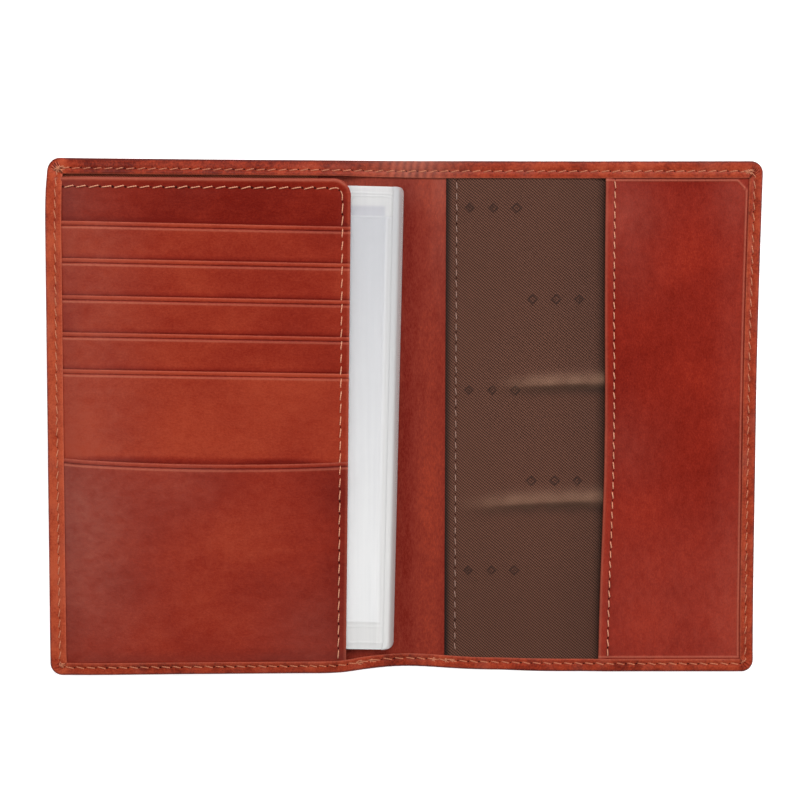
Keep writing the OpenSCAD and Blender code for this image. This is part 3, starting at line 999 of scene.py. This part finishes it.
def fold_ridge(x, y, start, end, crest, width):
    """A soft fold that runs across the cloth from start to end, steeper on its lower side.

    It gives the fold's height, and where a painted highlight lies on its crest and a painted shade at
    its foot.
    """
    t = np.clip((x - start) / (end - start), 0, 1.2)
    line = crest[0] + (crest[1] - crest[0]) * t + crest[2] * np.sin(np.pi * t)
    d = y - line
    body = np.where(d > 0, np.exp(-((d / width) ** 2)), np.exp(-((d / (0.45 * width)) ** 2)))
    grown = ramp(x, start, start + 0.55 * (end - start))
    height = body * grown * (1 - 0.55 * ramp(x, end - 9, end - 3))
    return height, grown * hump(d, 0.9, 0.75 * width), grown * hump(d, -0.65 * width, 0.6 * width)


def motif(x, y):
    """Small woven diamonds in short staggered rows."""
    total = 0 * x
    gap, row_gap = 7.5, 29.2
    for row in range(-2, 3):
        cy = row * row_gap + 9.2
        first = 20.2 if row % 2 == 0 else 40.6
        for k in range(3):
            dx, dy = np.abs(x - first - gap * k), np.abs(y - cy)
            ring = np.abs(dx + dy - 1.35) < 0.36
            total = total + np.where(ring | (dx + dy < 0.42), 1.0, 0.0)
    return np.clip(total, 0, 1)


def right_lining():
    start = LINING_X - FABRIC_OVERLAP
    u = span(start, FLAP_FOOT_X + 4, WEAVE_STEP)
    v = span(-INNER_Y, INNER_Y, WEAVE_STEP)
    wide = span(FLAP_FOOT_X + 4.4, INNER_X, 3.0)
    x, y = np.meshgrid(np.concatenate([u, wide]), v)
    woven = motif(x, y)
    top = LINING_TOP + 0.18 * (1 - ramp(x, start, start + 4.5)) - 0.16 * hump(x, start, 0.25)
    upper, upper_lit, upper_shaded = fold_ridge(x, y, 26, 66, (10.0, 11.9, 0.2), 3.0)
    lower, lower_lit, lower_shaded = fold_ridge(x, y, 12, 66, (-29.5, -26.2, 0.8), 3.2)
    top = top + 1.1 * upper + 1.15 * lower
    fuzz = 1 + 0.3 * ripple(x, y, 9, 5)
    # Painted highlight on the folds' crests.
    lit = (0.34 * upper_lit + 0.32 * lower_lit) * fuzz
    top = top + 0.05 * ripple(x, y, 22, 4) * ramp(x, LINING_X + 2, LINING_X + 8) + 0.06 * woven
    top = top - 0.10 * hump(x, LINING_X + LINING_SEAM, 0.4)
    edge = HALF_H - 8
    top = LINING_TOP + (top - LINING_TOP) * (1 - ramp(np.abs(y), edge, edge + 4))
    top = np.where(x > FLAP_FOOT_X + 5, LINING_TOP - 0.02, top)
    # Painted shadow beside the centre leather's edge and beside and under the flap, painted shade below
    # the folds, and darker towards the foot, the right and the top.
    shade = 0.8 * (1 - ramp(x, start + 0.2, start + 2.4))
    shade = shade + 0.35 * ramp(x, FLAP_FOOT_X - 2.5, FLAP_FOOT_X + 1)
    shade = shade + (0.42 * upper_shaded + 0.36 * lower_shaded) * fuzz
    shade = shade + 0.12 * ramp(-y, 20, 70) + 0.12 * ramp(x, 44, 60) + 0.06 * ramp(y, 10, 60)
    cloth(
        "lining_right", x, y, top, FABRIC_T, fabric_look, "right_cover", ["stiffener_right"],
        (INNER_X - start, 2 * INNER_Y), motif=0.8 * woven, shade=shade, lit=lit,
    )


def left_lining():
    x, y = np.meshgrid(span(-INNER_X, CENTRE_X, 3.0), span(-INNER_Y, INNER_Y, 3.0))
    top = LINING_TOP + 0.02 * ripple(x, y, 30, 6)
    cloth(
        "lining_left", x, y, top, FABRIC_T, left_fabric_look, "left_cover", ["stiffener_left"],
        (INNER_X + CENTRE_X, 2 * INNER_Y),
    )


def upright_row(x, y, z):
    """A row of points along the page's height, and the way to its left at each of them."""
    return np.stack([x + 0 * y, y, z + 0 * y], 1), np.tile([-1.0, 0.0], (len(y), 1))


def lining_stitching():
    y = span(foot_y(16) + HEM_FOOT + 0.5, top_y(16) - HEM_TOP[1] - 0.5, 1.0)[::-1]
    line, inward = upright_row(LINING_X + LINING_SEAM, y, LINING_TOP + 0.02)
    shells = sew(line, inward, EDGE_PITCH, slant=0.10, lift=0.10, fill=0.6, hole_r=0.2, radius=0.10)
    place("lining_stitching", shells, [dull_thread, hole_material], "right_cover", "thread")


# ---- card panel ----


def panel_columns(extra=()):
    return span(-INNER_X, PANEL_X, 1.1, 0, CUT_R, list(extra))


def panel_strip(i):
    """One pocket strip: a folded top edge with a creased line, and a foot under the next strip."""
    pocket = i == SLOTS
    x = panel_columns()
    deep = POCKET_Y + INNER_Y if pocket else SLOT_Y[i] - edge_level(i + 1, PANEL_MID) + 6
    near = [0.5, 0.75, 1.0, 1.2, 1.3, 1.38, 1.44, 1.5, 1.58, 1.68, 1.8, 1.95, 2.15, 2.5]
    below = np.linspace(3.2, deep, 46 if pocket else 16)
    down = np.concatenate([[FOLD_R * k for k in EDGE_STEPS], near, below])[::-1]
    gx = np.broadcast_to(x, (len(down), len(x)))
    edge = edge_level(i, gx)
    if pocket:
        limit = edge - level(gx, PANEL_FOOT)
        gd = down[:, None] * limit / deep
        gd = np.where(down[:, None] < 3, down[:, None], gd)
    else:
        gd = np.broadcast_to(down[:, None], gx.shape)
    gy = edge - gd - SLOT_LEAN * (gx - PANEL_MID)
    z = panel_lift(gx, gy) + squeeze(gx) * strip_height(i, gd)
    z = z + 0.08 * hump(gd, 0.75, 0.5) - 0.18 * hump(gd, 1.48, 0.16)
    z = z + 0.06 * ramp(gd, 1.6, 2.2) * (1 - ramp(gd, 3, 9))
    z = z - 0.13 * hump(gx, PANEL_X - PANEL_SEAM, 0.5) + 0.08 * hump(gx, PANEL_X - 0.9, 0.7)
    if pocket:
        z = z + 0.10 * ripple(gx, gy, 55, 7) * ramp(gd, 2, 14)
    else:
        z = z + 0.04 * ripple(gx, 3 * gy + 40 * i, 40, i + 2)
    right = PANEL_X - gx
    t = STRIP_T * (0.8 + 0.2 * squeeze(gx))
    drop = np.maximum(rounded(gd, FOLD_R), rounded(right, CUT_R))
    top = z - drop
    bottom = z - t + np.minimum(drop, 0.9 * (t - drop))
    bottom = np.minimum(bottom, top - THINNEST)
    # Painted highlights on the folded top edge, on the crease's lower wall (stronger to the left) and
    # on the cut right end.
    stronger_left = 0.5 + 0.4 * hump(gx, -HALF_W, 45)
    rub = 0.28 * hump(gd, 0.2, 0.26) + 0.85 * stronger_left * hump(gd, 2.05, 0.27)
    rub = rub + 0.3 * hump(right, 0.2, 0.3)
    tone, haze = strip_tone(i, gx, gy, gd), strip_sheen(i, gx, gy)
    return sheet_shell(gx, gy, top, bottom, tone=tone, rub=rub, haze=haze)


def strip_tone(i, x, y, down):
    across = (x - PANEL_MID) / (HALF_W + PANEL_X) * 2
    tone = 0.10 * ripple(x, y, 34, 1 + i) + 0.08
    # Painted shade in the crease, and a lighter painted band just below the fold.
    tone = tone - 0.45 * hump(down, 1.45, 0.2) + 0.30 * hump(down, 0.5, 0.5)
    if i < SLOTS:
        # Painted shadow at the strip's foot, in the mouth of the slot below.
        tone = tone - 1.1 * hump(edge_level(i, x) - down - edge_level(i + 1, x), 0, 0.6)
    if i == SLOTS:
        warm = [(-45, -35, 14, 0.30), (-78, -45, 22, 0.10), (-60, -62, 15, 0.16)]
        tone = tone - 0.14 + spots(x, y, warm + [(-30, -60, 12, -0.1)])
        return tone - 0.18 * ramp(np.abs(across), 0.75, 1.0) - 0.08 * ramp(across, 0.1, 0.6)
    if i == SLOTS - 1:
        return tone + 0.20 + 0.16 * ramp(-across, 0.4, 0.9) - 0.08 * ramp(across, 0.8, 1.0)
    return tone - 0.16 * ramp(across, -0.2, 0.9) + 0.08


# Painted sheen on the strips, strongest to the left.
def strip_sheen(i, x, y):
    if i == SLOTS:
        left = [(-108, -28, 22, 0.50), (-104, -60, 20, 0.25)]
        middle = [(-30, -70, 16, 0.15), (-70, -20, 12, 0.15)]
        return spots(x, y, left + middle) + 0.08
    return 0.22 * hump(x, -100, 16) + (0.05 if i == SLOTS - 1 else 0.04)


def top_band():
    """The band above the first slot, with the panel's rounded corner and stuffed edge."""
    x = panel_columns(PANEL_X - PANEL_R * (1 - np.sin(np.linspace(0, math.pi / 2, 12))))
    low = SLOT_Y[0] - 6 - SLOT_LEAN * (x - PANEL_MID)
    high = PANEL_TOP - rounded(PANEL_X - x, PANEL_R)
    near_edge = [1 - k * 0.012 for k in EDGE_STEPS] + [0.9, 0.93, 0.96, 0.97]
    share = span(0, 1, 0.055, extra=near_edge)
    gx, gy = between(x, low, high, share)
    dx = gx - (PANEL_X - PANEL_R)
    dy = gy - (PANEL_TOP - PANEL_R)
    in_corner = (dx > 0) & (dy > 0)
    rim = np.minimum(PANEL_X - gx, PANEL_TOP - gy)
    rim = np.maximum(np.where(in_corner, PANEL_R - np.hypot(dx, dy), rim), 0)
    z = panel_lift(gx, gy) + squeeze(gx) * band_height(level(gx, gy) - SLOT_Y[0])
    along_top = ramp(PANEL_X - gx - (PANEL_TOP - gy), -1, 1)
    seam = PANEL_SEAM + (PANEL_TOP_SEAM - PANEL_SEAM) * along_top
    z = z + 0.16 * hump(rim, 1.0, 0.75) - 0.14 * hump(rim, seam, 0.45)
    z = z + 0.05 * ripple(gx, gy, 26, 3) * ramp(rim, 2, 6)
    top, bottom = faces_of(z, STRIP_T + 0.1, rounded(rim, 0.29))
    tone = -0.38 + 0.10 * ripple(gx, gy, 30, 8) + 0.10 * ramp(-gx, 85, 105) + 0.10 * ramp(gx, -50, -30)
    # Painted shadow at the band's foot, in the mouth of the first slot, and a painted highlight along
    # the stuffed rim.
    tone = tone - 0.8 * hump(level(gx, gy) - SLOT_Y[0], 0, 0.6) + 0.25 * hump(rim, 0.7, 0.9)
    # Painted highlight along the rim, strongest at its top edge.
    rub = 0.5 * hump(rim, 0.6, 0.45) * (0.35 + 0.65 * ramp(gy, PANEL_TOP - 4, PANEL_TOP - 1))
    # Painted sheen in patches towards the left.
    haze = spots(gx, gy, [(-106, 70, 9, 0.20), (-96, 66, 12, 0.12), (-70, 72, 10, 0.04)])
    return sheet_shell(gx, gy, top, bottom, tone=tone, rub=rub, haze=haze)


def card_panel():
    band = "card_panel_top_band"
    place(band, [top_band()], [panel_look], "left_cover", "inner_leather")
    for i in range(SLOTS + 1):
        node = f"card_pocket_{i + 1}" if i < SLOTS else "bottom_pocket"
        shells = [panel_strip(i)]
        place(f"{node}_leather", shells, [panel_look], "left_cover", "inner_leather", node)
    panel_cloth()
    card_panel_stitching()


def panel_cloth():
    """The backing, and the lining that carries each strip down to the foot of its slot."""
    x = span(-INNER_X, PANEL_X - BACKING_GAP, 2.0)
    high = PANEL_TOP - BACKING_GAP - rounded(PANEL_X - x, PANEL_R) * 0.98
    gx, gy = between(x, PANEL_FOOT, high, np.linspace(0, 1, 70))
    top = panel_lift(gx, gy) + 0.12
    size = (PANEL_X - BACKING_GAP + INNER_X, PANEL_TOP - BACKING_GAP - PANEL_FOOT)
    cloth(
        "card_panel_backing", gx, gy, top, 0.12, plain_fabric_look, "left_cover",
        ["insert_leaf_3"], size,
    )
    for i in range(SLOTS):
        node = f"pocket_lining_{i + 1}"
        low, high = box_mm(node)
        gx, gy = np.meshgrid(span(-HALF_W + 1.6, high[0], 2.4), span(low[1], high[1], 2.4))
        top = panel_lift(gx, gy) + 0.14 + 0.04 * (i + 1) * squeeze(gx)
        cloth(
            node, gx, gy, top, 0.035, plain_fabric_look, "left_cover",
            ["card_panel_backing"], (high[0] + HALF_W - 1.6, high[1] - low[1]),
        )


def card_panel_stitching():
    row_y, row_x = PANEL_TOP - PANEL_TOP_SEAM, PANEL_X - PANEL_SEAM + 0.1
    turn = np.linspace(0, math.pi / 2, 7)
    r = 3.0
    xs = span(-HALF_W + HEM_SIDE[-1] + 0.4, row_x - r, 0.5)
    ys = span(-HALF_H + HEM_FOOT + 0.6, row_y - r, 0.5)[::-1]
    px = np.concatenate([xs, row_x - r + r * np.sin(turn[1:-1]), row_x + 0 * ys])
    py = np.concatenate([row_y + 0 * xs, row_y - r + r * np.cos(turn[1:-1]), ys])
    line = np.stack([px, py, panel_top(px, py) - 0.03], 1)
    ahead = np.gradient(line[:, :2], axis=0)
    ahead /= np.linalg.norm(ahead, axis=1, keepdims=True)
    way = np.where(px > row_x - 0.5 * r, -0.5, 1)[:, None]
    inward = way * np.stack([ahead[:, 1], -ahead[:, 0]], 1)
    shells = sew(line, inward, PANEL_PITCH, slant=0.34, lift=0.2, fill=0.8, hole_r=0.32, radius=0.12)
    place("card_panel_stitching", shells, [panel_thread, hole_material], "left_cover", "thread")


# ---- flap ----


def flap_edge(y):
    """The flap's free edge bows out a little half way down, and leans to the spine at its foot."""
    down = np.clip((HALF_H - y) / (2 * HALF_H), 0, 1)
    lean = (FLAP_TOP_X - FLAP_FOOT_X) * ramp(down, 0.6, 1)
    return FLAP_TOP_X + 0.75 * hump(down, 0.52, 0.25) - lean


def flap_lift(d, y):
    """How far the flap stands up at d from its free edge, less towards its sewn ends."""
    return 0.52 * (1 - ramp(d, 0, 14)) * (1 - ramp(np.abs(y), HALF_H - 9, HALF_H - 4))


def flap():
    near_top = np.linspace(-3, 0, 16) + HALF_H - HEM_TOP[1]
    near_foot = np.linspace(0, 3, 16) + HEM_FOOT - HALF_H
    v = span(-HALF_H + 1.5, HALF_H - 1.5, 1.0, extra=[*near_top, *near_foot])
    near_edge = [k * 0.0088 for k in EDGE_STEPS]
    near_edge += [0.015, 0.03, 0.05, 0.055, 0.06, 0.065, 0.07, 0.08]
    share = span(0, 1, 0.02, extra=near_edge)
    share = np.unique(np.concatenate([share, np.linspace(0.86, 0.95, 30)]))
    left = flap_edge(v)[:, None]
    gx = left + (INNER_X - left) * share
    gy = np.broadcast_to(v[:, None], gx.shape)
    d = gx - left
    z = FLAP_Z + flap_lift(d, gy) + 0.08 * hump(d, 1.1, 1.0) - 0.15 * hump(d, FLAP_SEAM, 0.5)
    in_x = HALF_W - HEM_SIDE[1] - gx
    in_top = HALF_H - HEM_TOP[1] - gy
    in_foot = gy + HALF_H - HEM_FOOT
    inset = np.minimum(np.minimum(in_x, in_top), in_foot)
    inset = np.minimum(inset, (in_x + in_top - 3.4) / 1.414)
    z = z + 0.16 * hump(inset, 0.65, 0.35) + 0.10 * ramp(inset, 0, 9) + 0.06 * ripple(gx, gy, 38, 6)
    top, bottom = faces_of(z, 0.6 + 0.12 * hump(d, 0, 2.5), rounded(d, 0.34))
    hot = [(82, 46, 16, 0.06), (97, 14, 16, 0.10), (84, -6, 14, 0.04), (74, 30, 9, 0.04)]
    low = [(72, 12, 14, -0.16), (100, -14, 16, -0.08), (80, -40, 18, 0.07), (88, -62, 20, 0.20)]
    tone = -0.16 + spots(gx, gy, hot + low) + 0.09 * ripple(gx, gy, 30, 12)
    # A painted highlight along the rolled free edge; lighter towards the right.
    tone = tone + 0.22 * hump(d, 1.2, 1.0) + 0.15 * ramp(gx, 98, 108)
    high = [(68, 66, 13, 0.24), (72, 46, 11, 0.08), (104, 70, 9, 0.12)]
    # Painted sheen in patches, and towards the foot and the right.
    haze = spots(gx, gy, high + [(70, -10, 14, 0.12)])
    haze = haze + 0.14 * ramp(-gy, 10, 60) + 0.08 * ramp(gx, 96, 106)
    # Painted highlights on the free edge and on the pressed border ridge.
    rub = 0.35 * hump(d, 0.3, 0.5) + 0.6 * hump(inset, 0.65, 0.28)
    shell = sheet_shell(gx, gy, top, bottom, tone=tone, rub=rub, haze=haze)
    place("flap_leather", [shell], [flap_leather], "right_cover", "inner_leather", "flap")
    gx = left + 0.5 + (INNER_X - left - 0.5) * np.linspace(0, 1, 30)
    gy = np.broadcast_to(v[:, None], gx.shape)
    top = np.maximum(FLAP_Z - 0.66 + flap_lift(gx - left, gy), LINING_TOP + FABRIC_T)
    cloth(
        "flap_lining", gx, gy, top, 0.12, plain_fabric_look, "right_cover", ["lining_right"],
        (INNER_X - FLAP_TOP_X, 2 * HALF_H - 3),
    )
    flap_stitching()


def flap_stitching():
    y = span(foot_y(66) + HEM_FOOT + 0.6, top_y(66) - HEM_TOP[1] - 0.4, 0.6)[::-1]
    z = FLAP_Z + flap_lift(FLAP_SEAM, y) - 0.04
    line, inward = upright_row(flap_edge(y) + FLAP_SEAM, y, z)
    shells = sew(line, inward, FLAP_PITCH, slant=0.18, lift=0.22, fill=0.72, hole_r=0.24, radius=0.13)
    place("flap_stitching", shells, [panel_thread, hole_material], "right_cover", "thread")


# ---- clear insert ----


def insert_place(u, v):
    """From the insert's own axes, whose origin is its top right corner, to the frame."""
    c, s = math.cos(INSERT_LEAN), math.sin(INSERT_LEAN)
    return INSERT_X + u * c + v * s, INSERT_Y - u * s + v * c


def binding_draw(v):
    """How far in the binding's edge is drawn at its rounded ends, the foot rounder than the top."""
    return rounded(v + INSERT_H, 2.6) + rounded(-v, 1.8)


def nipped(z, nip):
    """The films' heights, pinched together where the binding's lips hold them."""
    return z + nip * (NIP_RISE - (1 - NIP_SHARE) * (z - INSERT_Z))


def film(low_v, high_v, base, height, round_top):
    """One film of a leaf over the insert's own axes, its lower face height(u, v) above base."""
    end = BINDING_WALL - 0.3
    u = span(-INSERT_W, end, 2.4, extra=np.linspace(-24, end, 90))
    near_top = np.linspace(high_v - 10, high_v, 40)
    near_foot = np.linspace(low_v, low_v + 12, 44)
    v = span(low_v, high_v, 1.6, extra=[*near_top, *near_foot])
    gu, gv = np.meshgrid(u, v)
    mid = (low_v + high_v) / 2
    cut = rounded(INSERT_W / 2 - np.abs(gu + INSERT_W / 2), 2.5)
    if round_top:
        gv = gv - cut * np.clip((gv - mid) / (high_v - mid), 0, 1)
    gv = gv + cut * np.clip((gv - mid) / (low_v - mid), 0, 1)
    z = base + height(gu, gv)
    drawn = binding_draw(gv)
    moved = gu - drawn * ramp(gu, -7.0, end)
    nip = ramp(moved + 0.2 * drawn, -4.6, -3.4)
    x, y = insert_place(moved, gv)
    above_mouth = ramp(gv, -MOUTH_DROP, -MOUTH_DROP + 0.4)
    # Painted shadow just above the front film's mouth, away from the binding.
    tint = 0.38 * (above_mouth * (1 - ramp(gv, -6.8, -5.6)) * ramp(-gu, 5.2, 6.4))
    at_top = 0.75 * ramp(gv, -MOUTH_DROP - 0.5, -MOUTH_DROP + 0.5)
    bare = np.maximum(at_top, 0.45 * ramp(gu, -6.0, -5.0))
    top, bottom = nipped(z + FILM_T, nip), nipped(z, nip)
    # The rim mark places the painted reflection of the leather near the binding.
    return sheet_shell(x, y, top, bottom, rim=0.4 * hump(gu, 0, 1.2), tint=tint, bare=bare)


def place_clear(name, shells):
    place(name, shells, [film_material], "document_insert", "clear_vinyl", settled=False)


def leaf(i):
    """Two films welded at the sides and foot. The front one stops short, as the pocket's mouth.

    On the front films, only the top leaf's seams stand proud. The leaf above presses the others flat.
    """
    base = INSERT_Z + i * LEAF_T
    proud = 1.0 if i == LEAVES - 1 else 0.0

    def weld(u, v):
        side = hump(u, -3.4, 0.28) + hump(u, -INSERT_W + 2, 0.3)
        foot = hump(v, -INSERT_H + 2.2, 0.3)
        return 0.08 * np.maximum(side, foot)

    def back(u, v):
        inner = np.minimum(-u, -v) - 0.55 * np.exp(-np.abs(u - v) / 1.4)
        return 0.09 * hump(inner, 2.2, 0.28) + 0.07 * hump(inner, 3.1, 0.22) - 0.03 * hump(v, -7.6, 1.6)

    def front(u, v):
        top_edge = 0.10 * hump(v, -MOUTH_DROP, 0.35)
        foot = 0.07 * hump(v, -INSERT_H + 7.4, 0.3) + 0.06 * hump(v, -INSERT_H + 8.8, 0.3)
        inner = CARD_TOP + CARD_GAP - FILM_T + 0.05 * proud * hump(u, -5.6, 0.25)
        open_sides = ramp(-u, 0.3, 2.2) * ramp(u, -INSERT_W, -INSERT_W + 2)
        gap = inner * (open_sides * ramp(v, -INSERT_H, -INSERT_H + 2.5))
        return FILM_T + gap + proud * (top_edge + foot + weld(u, v))

    shells = [
        film(-INSERT_H, 0, base, back, True),
        film(-INSERT_H, -MOUTH_DROP, base, front, False),
    ]
    place_clear(f"insert_leaf_{i + 1}", shells)


def binding():
    """The folded strip that holds the leaves' back edges."""
    total = LEAVES * LEAF_T
    near_foot = -INSERT_H + np.array([0, 0.3, 0.8, 1.6, 2.6])
    between = np.linspace(-INSERT_H + 4, -3, 60)
    rings, out = [], []
    for v in np.concatenate([near_foot, between, [-2.0, -1.2, -0.6, -0.2, 0.0]]):
        drawn = binding_draw(v)
        wall, lip = BINDING_WALL - drawn, -3.2 - drawn * 0.2
        ring = []
        for a in np.radians(np.linspace(90, -90, 15)):
            ring.append((-1.0 - drawn + math.cos(a), total / 2 * (1 + math.sin(a))))
        ring += [(lip, 0), (lip, 0.12), (wall, 0.16), (wall, total - 0.14), (lip, total - 0.06)]
        ring += [(lip - 0.1, total + 0.03), (-2.2 - drawn * 0.6, total + 0.12)]
        u, z = np.array(ring).T
        x, y = insert_place(u, v)
        rings.append(np.stack([x, y, z + INSERT_Z], 1))
        out.append(u)
    # The binding's outer curve carries the painted reflection of the leather.
    shell = tube_shell(np.stack(rings), rim=0.9 * ramp(np.stack(out), -2.0, -0.5), bare=0.3)
    place_clear("insert_binding", [shell])


# ---- studio ----


def camera():
    tilt, turn, roll = math.radians(3.49), math.radians(-1.77), math.radians(0.12)
    target = Vector((-1.92, 6.05, 2.0)) * MM
    back = Vector((math.sin(turn), math.sin(tilt), math.cos(tilt) * math.cos(turn))).normalized()
    right = Vector((0, 1, 0)).cross(back).normalized()
    up = back.cross(right)
    data = bpy.data.cameras.new("camera")
    data.sensor_width = 36
    data.lens = 70.39
    data.clip_start, data.clip_end = 0.01, 60
    eye = bpy.data.objects.new("camera", data)
    axes = Matrix((right, up, back)).transposed().to_4x4()
    eye.matrix_world = Matrix.Translation(target + back * 0.5) @ axes @ Matrix.Rotation(roll, 4, "Z")
    bpy.context.scene.collection.objects.link(eye)
    bpy.context.scene.camera = eye


def softbox(name, place, size, power):
    """A soft lamp that faces the middle of the wallet."""
    data = bpy.data.lights.new(name, "AREA")
    data.shape = "RECTANGLE"
    data.size, data.size_y = size
    data.energy = power
    lamp = bpy.data.objects.new(name, data)
    lamp.location = place
    lamp.rotation_mode = "QUATERNION"
    lamp.rotation_quaternion = (-Vector(place)).to_track_quat("-Z", "Y")
    bpy.context.scene.collection.objects.link(lamp)


def studio():
    softbox("key_softbox", (0.15, 0.95, 0.95), (1.2, 0.6), 17)
    softbox("left_softbox", (-1.15, 0.15, 0.75), (0.6, 1.2), 4.5)
    softbox("right_softbox", (1.15, 0.15, 0.70), (0.5, 1.0), 8)
    softbox("front_softbox", (0.0, -1.1, 0.9), (1.2, 0.6), 3.0)
    world = bpy.data.worlds.new("studio_air")
    world.use_nodes = True
    world.node_tree.nodes["Background"].inputs[0].default_value = (1, 1, 1, 1)
    world.node_tree.nodes["Background"].inputs[1].default_value = 0.20
    bpy.context.scene.world = world
    mesh = bpy.data.meshes.new("floor")
    reach, depth = 25.0, -0.0004
    ways = (-1, -1), (1, -1), (1, 1), (-1, 1)
    corners = [(reach * across, reach * along, depth) for across, along in ways]
    mesh.from_pydata(corners, [], [(0, 1, 2, 3)])
    mesh.materials.append(floor_look("pale_floor"))
    floor = bpy.data.objects.new("floor", mesh)
    bpy.context.scene.collection.objects.link(floor)
    view = bpy.context.scene.view_settings
    view.view_transform = "Standard"
    view.look = "None"
    view.exposure = 0.0
    view.gamma = 1.0


def dress_cad():
    """Materials for the CAD parts that stay: the boards and the filler cards."""
    for name in ("stiffener_left", "stiffener_right"):
        paint(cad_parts[name], board_material)
    for i in range(LEAVES):
        paint(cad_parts[f"insert_card_{i + 1}"], card_material)


def paint(part, material):
    part.data.materials.clear()
    part.data.materials.append(material)


camera()
studio()
for side in (-1, 1):
    outer_hide(side)
    hem = Hem(side)
    turned_edge(hem)
    hem_stitching(hem)
    centre_leather(side)
right_lining()
left_lining()
lining_stitching()
card_panel()
flap()
for i in range(LEAVES):
    leaf(i)
binding()
dress_cad()
